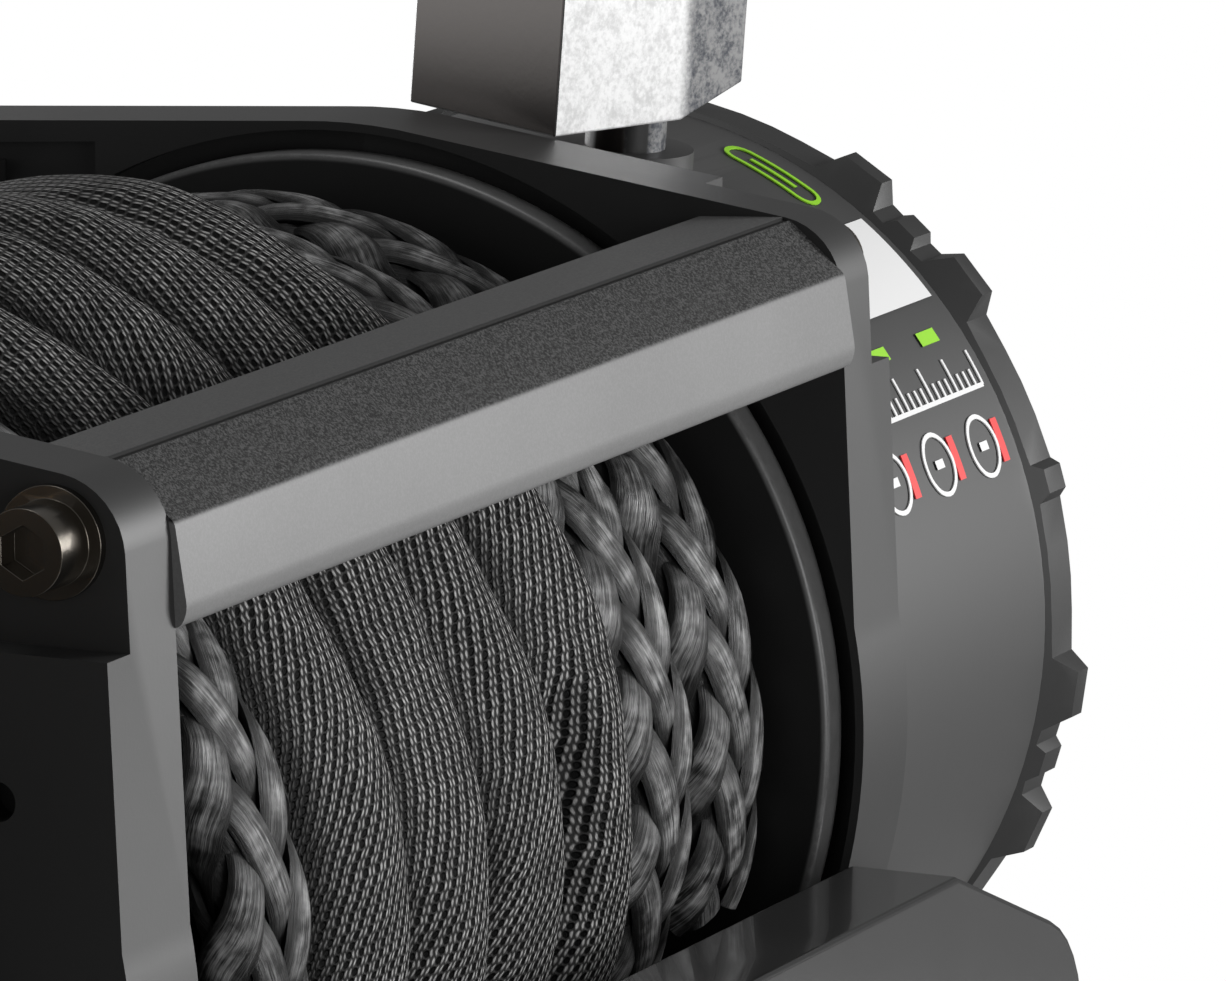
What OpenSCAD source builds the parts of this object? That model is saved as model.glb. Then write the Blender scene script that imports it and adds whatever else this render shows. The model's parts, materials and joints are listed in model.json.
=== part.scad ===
/* [Frame] */
// Distance between the inner faces of the two drum supports
bay_w = 236; // [220:1:250]
// Height of the drum axis above the soles of the feet, beyond the support's radius
sole_drop = 3; // [2:0.5:12]
// Outer radius of a drum support about the drum axis
support_r = 97; // [94:0.5:104]
// Thickness of the support on the gearbox side
gear_support_t = 18; // [16:0.5:24]
// Thickness of the support on the motor side
motor_support_t = 21; // [18:0.5:26]
// Depth of the rebate round each tie bar screw
rebate_d = 7; // [4:0.5:8]
// Half length of a foot along the vehicle
foot_half = 75; // [70:1:80]
// Height of the foot block
foot_h = 22; // [16:1:26]
// Distance of each foot bolt from the inner face of its support
foot_inset = 9; // [8:0.5:10]
// Spacing of the foot bolts along the vehicle
foot_pitch_y = 114.3; // [110:0.1:118]

/* [Tie bars] */
// Thread radius of a tie bar screw
tie_screw_r = 4; // [3:0.5:5]
// Head radius of a tie bar screw
tie_head_r = 6.5; // [6:0.5:7.5]
// Head height of a tie bar screw
tie_head_h = 8; // [6:0.5:9]
// Depth of the pocket that takes each end of the rear tie bar
rear_pocket_d = 3; // [2:0.5:4]

/* [Drum] */
// Rim of the support outside the drum flanges
flange_drop = 5; // [5:0.5:8]
// Thickness of a drum flange
flange_t = 6.5; // [5:0.5:7]
// Outer radius of the drum barrel
barrel_r = 36; // [34:0.5:40]
// Bore radius of the drum
drum_bore_r = 31; // [28:0.5:31]
// Radius of the drum's bearing hubs
hub_r = 42; // [41:0.5:46]
// Wall of a drum bush
bush_t = 4; // [3:0.5:5]
// Running clearance of each turning fit, on the radius
run_fit = 0.05; // [0.02:0.01:0.09]

/* [Rope] */
// Depth of the wound rope pack below the rims of the drum flanges
pack_drop = 8; // [7:0.5:10]
// Height of a flattened rope turn
turn_h = 12.4; // [11:0.2:13]
// Room beside the left end of the outer layer of turns
left_room = 17.375; // [16:0.025:20]
// Radius of the rope where it runs free
rope_r = 6.2; // [5:0.1:6.5]

/* [Gearbox] */
// Step from the support's shoulder down to the gear housing
housing_drop = 10; // [8:0.5:10.5]
// Wall of the gear housing
housing_t = 5; // [4:0.5:5]
// Length of the gear housing
housing_l = 82; // [80:1:96]
// Thickness of the gearbox end cover
cover_t = 10; // [8:0.5:12]
// Wall of the ring gears behind the roots of their teeth
ring_wall = 4.3; // [3:0.1:6]
// Teeth of each sun gear
sun_z = 15; // [15:15:15]
// Teeth of each planet gear
planet_z = 30; // [30:30:30]
// Radius of the drive shaft
shaft_r = 6.5; // [5:0.5:7]
// Radius of a planet pin
pin_r = 8; // [6:0.5:10]

/* [Clutch] */
// Distance of the clutch stem from the outer face of its support
clutch_in = 42; // [40:1:50]
// Length of the clutch lever
lever_l = 47; // [44:1:48]
// Width of the clutch lever
lever_w = 34; // [26:1:34]
// Height of the clutch lever
lever_h = 28; // [20:1:36]
// Radius of the clutch locking pin
lock_r = 4.5; // [4:0.5:4.5]
// Lift of the clutch locking pin
lock_lift = 6; // [5.5:0.5:7]

/* [Motor] */
// Outer radius of the motor case
motor_r = 57; // [54:0.5:57]
// Wall of the motor case
motor_t = 6; // [4:0.5:6]
// Length of the motor case
motor_l = 145; // [142:1:180]
// Thickness of the motor flange
motor_flange_t = 12; // [10:0.5:16]
// Radius of the motor flange
motor_flange_r = 72; // [72:0.5:78]
// Radius of the motor shaft
motor_shaft_r = 8.5; // [7:0.5:9]
// Thickness of the motor end cap
end_cap_t = 16; // [14:0.5:20]
// Radius of a terminal stud
terminal_r = 4; // [3:0.5:5]

/* [Fairlead and tray] */
// Half length of the fairlead
fairlead_half = 155; // [152:1:160]
// Height of the fairlead
fairlead_h = 78; // [74:1:80]
// Thickness of the fairlead
fairlead_t = 20; // [16:0.5:26]
// Distance from each end of the rope slot to the fairlead's end
slot_margin = 63; // [61:0.5:71]
// Half height of the rope slot
slot_rise = 14; // [12:0.5:15]
// Height of the fairlead bolts above the feet
fairlead_z = 43; // [43:0.5:46]
// Sheet thickness of the mounting tray
tray_t = 6; // [6:0.5:8]
// Thickness of the tray's upright front wall
upright_t = 4; // [4:0.5:6]
// Half length of the mounting tray
tray_half = 182; // [180:1:190]
// Spacing of the vehicle bolts across the vehicle
vehicle_pitch_x = 330; // [326:1:334]
// Spacing of the vehicle bolts along the vehicle
vehicle_pitch_y = 100; // [90:1:110]
// Hole radius of the vehicle bolts
vehicle_hole_r = 6.5; // [5:0.25:7]

/* [Hidden] */

// One overrun serves every cut, and one small gap parts what must not touch
over = 1;
gap = 0.3;
room = 2;
clear_share = 1.5;
socket_share = 0.62;
round_fn = 96;
small_fn = 48;

// Stations along the drum axis, measured from the middle of the bay
bay_half = bay_w / 2;
gear_face = bay_half + gear_support_t;
motor_face = bay_half + motor_support_t;
flange_r = support_r - flange_drop;
pack_r = flange_r - pack_drop;
housing_r = support_r - housing_drop;
axis_h = support_r + sole_drop;
foot_bolt_x = bay_half + foot_inset;
flange_inset = 3.5;
rim_bevel = 1;
flange_face = bay_half - flange_inset;
flange_back = flange_face + flange_t;
recess_air = 1.5;
recess_d = flange_back - bay_half + recess_air;
recess_r = flange_r + flange_inset;
axis_z = tray_t + axis_h;
bush_r = hub_r + bush_t;
hub_gap = 0.5;

// Outline of a support: shoulder and corner places as shares of its radius
front_corner_share = [-0.831, 0.771];
rear_corner_share = [0.815, 0.825];
corner_share = 0.1237;
corner_r = support_r * corner_share;
rebate_low_share = 0.63;
rebate_back_share = -0.645;
rebate_round = 6;
foot_join_back = -4;
rib_screw_share = [-0.773, 0.402];
rib_screw_r = 3;
rib_screw_d = 6;

// Front tie bar: corners of its section as shares of the support radius
front_bar_share = [[-0.684, 0.884], [-0.8515, 0.894], [-0.961, 0.803], [-0.981, 0.671],
    [-0.969, 0.644], [-0.928, 0.639], [-0.684, 0.825]];
groove_share = [-0.8515, 0.894];
groove_w = 0.8;
front_screw_share = [-0.835, 0.79];
rear_bar_share = [[0.68, 0.885], [0.83, 0.875], [0.925, 0.8], [0.925, 0.69], [0.9, 0.66], [0.68, 0.83]];
rear_screw_share = [0.825, 0.775];
pocket_share = [[0.485, 0.933], [0.93, 0.9], [0.945, 0.64], [0.89, 0.64], [0.62, 0.76], [0.485, 0.84]];
tie_thread_l = 22;
thread_fill_share = 0.6;
washer_r = 8.5;
washer_t = 1.6;

// Feet and their bolts
foot_bolt_r = 5;
foot_bolt_l = 18;
foot_head_r = 9;
foot_head_h = 5;
foot_bolt_room = 1;
foot_socket_share = 0.45;
foot_depth_share = 0.6;

// Fairlead and tray
support_gap = 0.5;
tray_front = support_r + support_gap;
tray_rear = foot_half;
flange_front = tray_front + upright_t;
fairlead_front = flange_front + fairlead_t;
fairlead_mid_z = tray_t + fairlead_z;
fairlead_bolt_edge = 28;
fairlead_bolt_x = fairlead_half - fairlead_bolt_edge;
slot_half = fairlead_half - slot_margin;
fairlead_top_share = 0.658;
fairlead_end_share = 0.077;
fairlead_end_r = fairlead_half * 0.142;
end_turn_half = 68;
fairlead_bolt_r = 6;
fairlead_head_r = 9;
fairlead_head_h = 7;
fairlead_nut_r = 10.5;
fairlead_nut_h = 9;
lip_r = 5;
window_air = 6;
flange_top_share = 0.744;
flange_side_share = 0.18;
flange_flat_share = 0.71;

// Outer layer: the tube of each stretch follows one helix round the drum
core_gap = 1.2;
core_r = pack_r - turn_h - core_gap;
helix_r = pack_r - turn_h / 2;
lay_turn = 250;
loop_rings = 24;
right_loops = 1 + 8 / loop_rings;
sleeve_loops = 4 + 7 / loop_rings;
left_loops = 1 + 4 / loop_rings;
tube_sides = 6;
end_gap = 0.3;
end_turn = end_gap / helix_r * 180 / PI;
lay_loops = right_loops + sleeve_loops + left_loops + end_turn / 180;
right_room = 0.5;
bare_gap = 2.4;
sleeve_gap = 0.6;
turn_pitch = (2 * flange_face - right_room - left_room + bare_gap) / (lay_loops + 1);
rope_turn_w = turn_pitch - bare_gap;
sleeve_turn_w = turn_pitch - sleeve_gap;
lay_start = flange_face - right_room - rope_turn_w / 2;
rope_bulge = 5;
sleeve_bulge = 11;
sleeve_pile = 5;
bulge_turn = 18;
bulge_power = 4;

// Gear train: three stages, each with the ratio of its ring gear
ring_z = sun_z + 2 * planet_z;
ring_air = 0.3;
ring_outer_r = housing_r - housing_t - ring_air;
addendum_share = 0.9;
dedendum_share = 1.2;
gear_m = (ring_outer_r - ring_wall) / (ring_z / 2 + dedendum_share);
sun_rp = gear_m * sun_z / 2;
planet_rp = gear_m * planet_z / 2;
ring_rp = gear_m * ring_z / 2;
centre_d = sun_rp + planet_rp;
addendum = addendum_share * gear_m;
dedendum = dedendum_share * gear_m;
pressure = 20;
backlash = 0.3;
planets = 3;
inner_wall = 4;
carrier_rim = 15;
carrier_r = centre_d + carrier_rim;
carrier_t = 6;
thin_carrier_t = 5;
side_air = 0.5;
pin_head = 1.5;
pin_root = 1;
boss_lap = 0.5;
stage3_w = 18;
stage2_w = 11;
stage1_w = 8;
carrier3_x = gear_face + inner_wall + side_air;
gears3_x = carrier3_x + carrier_t + side_air;
carrier2_x = gears3_x + stage3_w + pin_head + 2 * side_air;
gears2_x = carrier2_x + thin_carrier_t + side_air;
carrier1_x = gears2_x + stage2_w + pin_head + 2 * side_air;
gears1_x = carrier1_x + thin_carrier_t + side_air;
train_end = gears1_x + stage1_w + pin_head;
shaft_air = 1;
ring_lead = 2;
ring_over = 5;
ring_gap = 1;
output_ring_x = gears3_x - ring_lead;
output_ring_l = stage3_w + ring_over;
clutch_ring_x = output_ring_x + output_ring_l + ring_gap;
clutch_ring_l = train_end - clutch_ring_x + ring_gap;
cover_x = gear_face + housing_l;
bearing_r = 16;
bearing_l = 8;
bearing_lead = 5;
bearing_x = train_end + bearing_lead;
bearing_room = 4;
boss_wall = 6;
pilot_r = 0.8;
cover_rise = 0.8;
cover_r = housing_r + cover_rise;
lug_rise = 3.6;
lug_ramp = 8;
lug_w = 13.4;
bump_rise = 1.5;
bump_w = 7;
lug_top_share = 0.62;
lug_turn = 8.4;
// Where round the rim each group of lugs stands
lug_places_share = [0.4306, 0.6139, 0.7972, 0.9556, 1.1139, 1.2722];
lug_groups = len(lug_places_share);
bump_turn = 3.5;
rim_steps = 4;
cover_screw_inset = 8;
cover_screw_ring = housing_r - cover_screw_inset;
cover_screw_end = 1;
cover_screw_r = 3;
cover_head_r = 5;
cover_head_h = 5;
cover_screw_l = 12;

// Clutch: its stem leans forward a little and carries the lever clear of the support
clutch_x = gear_face + clutch_in;
clutch_share = [-0.2585, 0.97];
clutch_y = support_r * clutch_share[0];
clutch_tilt = 4.4;
clutch_rise = support_r * clutch_share[1];
lever_turn = 17;
lever_tail = 10;
lever_nose = lever_tail - lever_l;
lever_end = 15;
lever_end_h = 5.3;
lever_bevel = 3;
stem_r = 7;
stem_l = 12;
stem_room = 1;
boss_r = 12;
boss_d = 28;
boss_drop = 8;
lock_tip = 20;
lock_top = 7;
notch_air = 1;
notch_w = 2 * lock_r + notch_air;
notch_floor = 0.3;
pin_room = 0.3;

// Motor, measured outwards from the motor side support
case_z = motor_flange_t;
cap_z = case_z + motor_l;
bolt_rise = 8;
motor_bolt_ring = motor_r + bolt_rise;
motor_bolt_wall = 3;
motor_bolt_end = 1;
motor_bolt_r = 4;
motor_head_r = 6.5;
motor_head_h = 8;
motor_bolts_n = 4;
front_bearing_r = 17.5;
rear_bearing_r = 13;
ball_bearing_l = 8;
armature_r = 34.8;
pole_r = 35.8;
poles = 4;
pole_turn = 60;
coil_turn = 84;
coil_inner_r = 41;
core_lead = 30;
core_z = case_z + core_lead;
core_l = 86;
coil_over = 10;
armature_end_share = 0.8;
armature_step_share = 0.86;
commutator_r = 20;
commutator_in = 19;
commutator_z = cap_z - commutator_in;
commutator_l = 16;
holder_in = 5;
holder_z = cap_z - holder_in;
holder_t = 4;
brush_l = 11;
brush_z = holder_z - brush_l;
brush_w = 8;
brush_h = 12;
terminal_in = 22;
terminal_z = cap_z - terminal_in;
cap_bevel_share = 0.45;
cap_bevel = end_cap_t * cap_bevel_share;
bearing_seat = 1;
terminal_l = 26;
terminal_turn = 34;
terminals = 3;
insulator_r = 9;
insulator_h = 5;
nut_r = 7.5;
nut_h = 5;
coupling_r = 16;
coupling_l = 34;
coupling_in = 12;
shaft_start = -motor_face + coupling_in;
shaft_tail = 1;
shaft_root = -motor_face - shaft_start - coupling_l / 2 + gap;
brake_lead = 14;
brake_x = shaft_start + coupling_l + brake_lead;
brake_l = 40;
brake_r = 30;
brake_cam_r = 14;
brake_turn = 170;

// Free rope: a straight run from the drum's underside through the fairlead
lead_x = -85;
lead_points = [[-69, -65.8], [-80, -63.86], [-90, -62.1], [-104, -59.63], [-118, -57.15], [-130, -55.04]];
lead_sides = 10;
eye_r = 16;
eye_tube_r = 7.4;
eye_bore_r = 9;
eye_web_t = 8;
throat_l = 3;

// Point on a circle in the plane square to the drum axis
function on_circle(r, a) = [r * cos(a), r * sin(a)];
// A regular outline with flat sides whose flats stay outside radius r
function flat_round(r, n) = [for (k = [0:n - 1]) on_circle(r / cos(180 / n), 360 * k / n)];

module at_axis(x) translate([x, 0, axis_z]) rotate([0, 90, 0]) children();
module motorward(z) translate([-motor_face - z, 0, axis_z]) rotate([0, -90, 0]) children();
// A section drawn as [y, z] about the drum axis, swept from x0 along +X
module section(x0, l) translate([x0, 0, axis_z]) rotate([90, 0, 90]) linear_extrude(l) children();
module ring(r_in, r_out, l) difference() {
    cylinder(r = r_out, h = l, $fn = round_fn);
    translate([0, 0, -over]) cylinder(r = r_in, h = l + 2 * over, $fn = round_fn);
}
module rod(r, l) cylinder(r = r, h = l, $fn = small_fn);
module hex(r, l) cylinder(r = r, h = l, $fn = 6);

// Supports
// The outline is one polygon, so that each support stays one solid
function arc(c, r, a0, a1, n) = [for (k = [0:n]) c + on_circle(r, a0 + (a1 - a0) * k / n)];
function support_points() = concat(
    arc([0, 0], support_r, 0, 11, 3),
    arc(support_r * rear_corner_share, corner_r, 9, 86, 8),
    arc([0, 0], support_r, 85.5, 98.8, 5),
    arc(support_r * front_corner_share, corner_r, 98.7, 175.4, 8),
    arc([0, 0], support_r, 169, 180 + foot_join_turn(), 24),
    [[-foot_half, -axis_h + foot_h], [-foot_half, -axis_h]],
    [[foot_half, -axis_h], [foot_half, -axis_h + foot_h]],
    arc([0, 0], support_r, -foot_join_turn(), -3, 24));
function foot_join_turn() = acos(foot_half / support_r) + foot_join_back;
module support_outline() polygon(support_points());
module rebate(x0) {
    back = support_r * rebate_back_share;
    low = support_r * rebate_low_share;
    far = clear_share * support_r;
    section(x0, rebate_d + over) polygon(concat([[-far, low]],
        arc([back - rebate_round, low + rebate_round], rebate_round, -90, 0, 6),
        [[back, far], [-far, far]]));
}
module support(side, t) {
    x_in = side > 0 ? bay_half : -bay_half - t;
    x_out = side > 0 ? bay_half + t : -bay_half - t;
    difference() {
        section(x_in, t) support_outline();
        at_axis(side > 0 ? bay_half - over : -bay_half - recess_d)
            cylinder(r = recess_r, h = recess_d + over, $fn = round_fn);
        at_axis(x_in - over) cylinder(r = bush_r, h = t + 2 * over, $fn = round_fn);
        rebate(side > 0 ? x_out - rebate_d : x_out - over);
        section(side > 0 ? bay_half - over : -bay_half - rear_pocket_d, rear_pocket_d + over)
            polygon(support_r * pocket_share);
        for (share = [front_screw_share, rear_screw_share])
            translate([x_in - over, support_r * share[0], axis_z + support_r * share[1]])
                rotate([0, 90, 0]) rod(tie_screw_r, t + 2 * over);
        for (y = [-1, 1]) translate([side * foot_bolt_x, y * foot_pitch_y / 2, tray_t - over])
            rod(foot_bolt_r, foot_bolt_l + over + foot_bolt_room);
        if (side < 0) {
            translate([x_out - over, support_r * rib_screw_share[0], axis_z + support_r * rib_screw_share[1]])
                rotate([0, 90, 0]) rod(rib_screw_r, rib_screw_d + over);
            motor_bolt_places(-motor_bolt_l) rod(motor_bolt_r, motor_bolt_l + over);
        }
    }
}
motor_bolt_l = motor_support_t - recess_d - motor_bolt_wall;
module motor_bolt_places(z) for (k = [0:motor_bolts_n - 1]) motorward(z)
    rotate(45 + 90 * k) translate([motor_bolt_ring, 0, 0]) children();
module motor_side_support() color([0.10, 0.10, 0.11]) support(-1, motor_support_t);
module gear_side_support() color([0.10, 0.10, 0.11]) support(1, gear_support_t);

// Tie bars and their screws
module tie_screw_places(share) for (side = [-1, 1]) {
    x_seat = side > 0 ? gear_face - rebate_d : -motor_face + rebate_d;
    translate([x_seat, support_r * share[0], axis_z + support_r * share[1]])
        rotate([0, 90 * side, 0]) children();
}
module bar_holes(share, x_end) for (side = [-1, 1])
    translate([side * (x_end + over), support_r * share[0], axis_z + support_r * share[1]])
        rotate([0, -90 * side, 0]) rod(tie_screw_r, tie_thread_l + over);
module front_tie_bar() color([0.30, 0.30, 0.31]) difference() {
    groove = support_r * groove_share;
    section(-bay_half, bay_w) polygon(support_r * front_bar_share);
    translate([-bay_half - over, groove[0] - groove_w / 2, axis_z + groove[1] - groove_w])
        cube([bay_w + 2 * over, groove_w, 2 * groove_w]);
    bar_holes(front_screw_share, bay_half);
}
module rear_tie_bar() color([0.30, 0.30, 0.31]) difference() {
    section(-bay_half - rear_pocket_d, bay_w + 2 * rear_pocket_d) polygon(support_r * rear_bar_share);
    bar_holes(rear_screw_share, bay_half + rear_pocket_d);
}
module socket_screw(r, head_r, head_h, l) {
    translate([0, 0, -l]) rod(r, l);
    difference() {
        rod(head_r, head_h);
        translate([0, 0, head_h / 2]) hex(head_r * socket_share, head_h);
    }
}
module tie_bar_screws() color([0.16, 0.15, 0.13]) {
    tie_screw_places(front_screw_share) tie_screw(rebate_d);
    for (side = [-1, 1]) translate([side > 0 ? gear_face : -motor_face, support_r * rear_screw_share[0],
        axis_z + support_r * rear_screw_share[1]]) rotate([0, 90 * side, 0]) tie_screw(0);
}
module tie_screw(sunk) {
    difference() {
        rod(washer_r, washer_t);
        translate([0, 0, -over]) rod(tie_screw_r + gap, washer_t + 2 * over);
    }
    translate([0, 0, washer_t]) socket_screw(tie_screw_r, tie_head_r, tie_head_h,
        washer_t + gear_support_t - sunk + tie_thread_l * thread_fill_share);
}
module drum_bushes() color([0.72, 0.53, 0.25]) {
    at_axis(bay_half + recess_d) ring(hub_r + run_fit, bush_r, gear_support_t - recess_d);
    at_axis(-motor_face) ring(hub_r + run_fit, bush_r, motor_support_t - recess_d);
}

// Mounting tray and its fasteners
module tray_blank() {
    translate([-tray_half, -flange_front, 0]) cube([2 * tray_half, flange_front + tray_rear, tray_t]);
    top = fairlead_mid_z + flange_top_share * fairlead_h / 2;
    side = fairlead_mid_z + flange_side_share * fairlead_h / 2;
    translate([0, -tray_front, 0]) rotate([90, 0, 0]) linear_extrude(upright_t)
        polygon([[-tray_half, 0], [tray_half, 0], [tray_half, side], [flange_flat_share * fairlead_half, top],
            [-flange_flat_share * fairlead_half, top], [-tray_half, side]]);
}
module mounting_tray() color([0.08, 0.08, 0.08]) difference() {
    tray_blank();
    for (x = [-1, 1], y = [-1, 1]) {
        translate([x * foot_bolt_x, y * foot_pitch_y / 2, 0]) {
            translate([0, 0, -over]) rod(foot_bolt_r, tray_t + 2 * over);
            translate([0, 0, -over]) rod(foot_head_r, over);
            cylinder(r1 = foot_head_r, r2 = foot_bolt_r, h = foot_head_h, $fn = small_fn);
        }
        translate([x * vehicle_pitch_x / 2, y * vehicle_pitch_y / 2, -over])
            rod(vehicle_hole_r, tray_t + 2 * over);
    }
    translate([-slot_half - window_air, -flange_front - over, fairlead_mid_z - slot_rise - window_air])
        cube([2 * (slot_half + window_air), upright_t + 2 * over, 2 * (slot_rise + window_air)]);
    for (x = [-1, 1]) translate([x * fairlead_bolt_x, -tray_front + over, fairlead_mid_z])
        rotate([90, 0, 0]) rod(fairlead_bolt_r, upright_t + 2 * over);
}
module foot_bolts() color([0.35, 0.35, 0.36]) for (x = [-1, 1], y = [-1, 1])
    translate([x * foot_bolt_x, y * foot_pitch_y / 2, 0]) difference() {
        union() {
            cylinder(r1 = foot_head_r, r2 = foot_bolt_r, h = foot_head_h, $fn = small_fn);
            rod(foot_bolt_r, tray_t + foot_bolt_l);
        }
        translate([0, 0, -over]) hex(foot_head_r * foot_socket_share, over + foot_head_h * foot_depth_share);
    }

// Fairlead
module fairlead_outline() {
    top = fairlead_h / 2;
    flat = fairlead_top_share * fairlead_half;
    end = [fairlead_half - fairlead_end_r, fairlead_end_share * top];
    polygon(concat([[flat, top]], arc(end, fairlead_end_r, end_turn_half, -end_turn_half, 12),
        [[flat, -top], [-flat, -top]],
        arc(-end, fairlead_end_r, 180 + end_turn_half, 180 - end_turn_half, 12), [[-flat, top]]));
}
module slot_cut(y0, l, r0, r1) {
    slot_x = slot_half - slot_rise;
    for (x = [-1, 1]) translate([x * slot_x, y0, fairlead_mid_z]) rotate([-90, 0, 0])
        cylinder(r1 = r0, r2 = r1, h = l, $fn = round_fn);
    translate([-slot_x, y0, fairlead_mid_z]) rotate([90, 0, 90]) linear_extrude(2 * slot_x)
        polygon([[0, -r0], [0, r0], [l, r1], [l, -r1]]);
}
module hawse_fairlead() color([0.05, 0.05, 0.055]) difference() {
    translate([0, -flange_front, fairlead_mid_z]) rotate([90, 0, 0])
        linear_extrude(fairlead_t) fairlead_outline();
    slot_cut(-fairlead_front - over, fairlead_t + 2 * over, slot_rise, slot_rise);
    slot_cut(-fairlead_front, lip_r, slot_rise + lip_r, slot_rise);
    slot_cut(-flange_front - lip_r, lip_r, slot_rise, slot_rise + lip_r);
    for (x = [-1, 1]) {
        translate([x * fairlead_bolt_x, -flange_front + over, fairlead_mid_z]) rotate([90, 0, 0])
            rod(fairlead_bolt_r, fairlead_t + 2 * over);
        translate([x * fairlead_bolt_x, -fairlead_front + fairlead_head_h, fairlead_mid_z])
            rotate([90, 0, 0]) rod(fairlead_head_r + gap, fairlead_head_h + over);
    }
}
fairlead_bolt_l = fairlead_t - fairlead_head_h + upright_t + fairlead_nut_h;
module fairlead_bolts() color([0.30, 0.30, 0.31]) for (x = [-1, 1])
    translate([x * fairlead_bolt_x, -fairlead_front + fairlead_head_h, fairlead_mid_z]) rotate([90, 0, 0]) {
        socket_screw(fairlead_bolt_r, fairlead_head_r, fairlead_head_h, fairlead_bolt_l);
        translate([0, 0, -fairlead_bolt_l]) difference() {
            hex(fairlead_nut_r, fairlead_nut_h);
            translate([0, 0, -over]) rod(fairlead_bolt_r, fairlead_nut_h + 2 * over);
        }
    }

// Gear housing and its cover
module at_clutch() translate([clutch_x, clutch_y, axis_z + clutch_rise])
    rotate([clutch_tilt, 0, 0]) children();
module gear_housing() color([0.28, 0.28, 0.29]) difference() {
    union() {
        at_axis(gear_face) ring(housing_r - housing_t, housing_r, housing_l);
        at_axis(gear_face) ring(bush_r + over, housing_r, inner_wall);
        intersection() {
            at_clutch() translate([0, 0, -boss_d]) rod(boss_r, boss_d - boss_drop);
            at_axis(gear_face) ring(housing_r - housing_t, housing_r * clear_share, housing_l);
        }
    }
    at_clutch() translate([0, 0, -boss_d - over]) rod(lock_r + run_fit, boss_d + 2 * over);
    at_clutch() translate([0, 0, -stem_l - stem_room]) rod(stem_r + run_fit, stem_l + stem_room + over);
    for (k = [0:lug_groups - 1]) at_axis(cover_x - cover_screw_l) rotate(360 * (k + 0.5) / lug_groups)
        translate([housing_r - housing_t / 2, 0, 0]) rod(pilot_r, cover_screw_l + over);
}
// The cover's rim is one polygon: two lugs with a low bump between them, a run
// of the rim, a bump by itself and another run, six times round. A cone keeps
// the side next to the housing flush and lets the lugs rise away from it.
lug_tip_r = cover_r + lug_rise + room;
function turned(p, a) = [p[0] * cos(a) - p[1] * sin(a), p[0] * sin(a) + p[1] * cos(a)];
function rim_lug(a, r, w) =
    let (top = w / 2 * lug_top_share)
    [for (p = [[cover_r, -w / 2], [r, -top], [r, top], [cover_r, w / 2]]) turned(p, a)];
function rim_run(a0, a1) =
    [for (k = [1:rim_steps - 1]) on_circle(cover_r, a0 + (a1 - a0) * k / rim_steps)];
function rim_group(a, group_turn) = concat(
    rim_lug(a - lug_turn, cover_r + lug_rise, lug_w),
    rim_lug(a, cover_r + bump_rise, bump_w),
    rim_lug(a + lug_turn, cover_r + lug_rise, lug_w),
    rim_run(a + 2 * lug_turn - bump_turn, a + group_turn / 2 - bump_turn),
    rim_lug(a + group_turn / 2, cover_r + bump_rise, bump_w),
    rim_run(a + group_turn / 2 + bump_turn, a + group_turn - 2 * lug_turn + bump_turn));
module gear_end_cover() color([0.16, 0.16, 0.17]) difference() {
    union() {
        at_axis(cover_x) intersection() {
            linear_extrude(cover_t)
                polygon([for (k = [0:lug_groups - 1])
                    let (from = 360 * lug_places_share[k], to = k < lug_groups - 1 ?
                        360 * lug_places_share[k + 1] : 360 * lug_places_share[0] + 360)
                    each rim_group(from, to - from)]);
            rotate_extrude($fn = round_fn) polygon([[0, -over], [housing_r, -over], [housing_r, 0],
                [lug_tip_r, lug_ramp], [lug_tip_r, cover_t + over], [0, cover_t + over]]);
        }
        at_axis(cover_x - boss_wall)
            cylinder(r = housing_r - housing_t - gap, h = boss_wall + over, $fn = round_fn);
        at_axis(bearing_x) cylinder(r = bearing_r + boss_wall, h = cover_x - bearing_x, $fn = round_fn);
    }
    at_axis(bearing_x - over) cylinder(r = bearing_r, h = bearing_l + over, $fn = round_fn);
    at_axis(bearing_x) cylinder(r = shaft_r + room, h = bearing_l + bearing_room, $fn = round_fn);
    for (k = [0:lug_groups - 1]) at_axis(cover_x - boss_wall - over) rotate(360 * (k + 0.5) / lug_groups)
        translate([cover_screw_ring, 0, 0]) rod(cover_screw_r, boss_wall + cover_t + 2 * over);
}
module cover_screws() color([0.35, 0.35, 0.36]) for (k = [0:lug_groups - 1])
    at_axis(cover_x + cover_t) rotate(360 * (k + 0.5) / lug_groups) translate([cover_screw_ring, 0, 0])
        socket_screw(cover_screw_r, cover_head_r, cover_head_h, cover_t + boss_wall - cover_screw_end);

// Gears: half the tooth angle at radius r, from the involute of the base circle
function involute(a) = tan(a) * 180 / PI - a;
function half_tooth(r, z, slack) = let (rp = gear_m * z / 2, rb = rp * cos(pressure))
    90 / z - slack * 90 / (PI * rp) + involute(pressure) - involute(acos(min(1, rb / r)));
function tooth_radii(z, r_low, r_high) = let (rb = gear_m * z / 2 * cos(pressure), r0 = max(rb, r_low))
    [r0, (r0 + r_high) / 2, r_high];
function gear_points(z, r_low, r_high, slack) = let (radii = tooth_radii(z, r_low, r_high))
    [for (k = [0:z - 1]) each concat(
        [on_circle(r_low, 360 * k / z - half_tooth(radii[0], z, slack))],
        [for (r = radii) on_circle(r, 360 * k / z - half_tooth(r, z, slack))],
        [for (i = [2:-1:0]) on_circle(radii[i], 360 * k / z + half_tooth(radii[i], z, slack))],
        [on_circle(r_low, 360 * k / z + half_tooth(radii[0], z, slack))])];
module toothed(z, bore, l) linear_extrude(l) difference() {
    polygon(gear_points(z, gear_m * z / 2 - dedendum, gear_m * z / 2 + addendum, backlash));
    polygon(flat_round(bore, 24));
}
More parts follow.
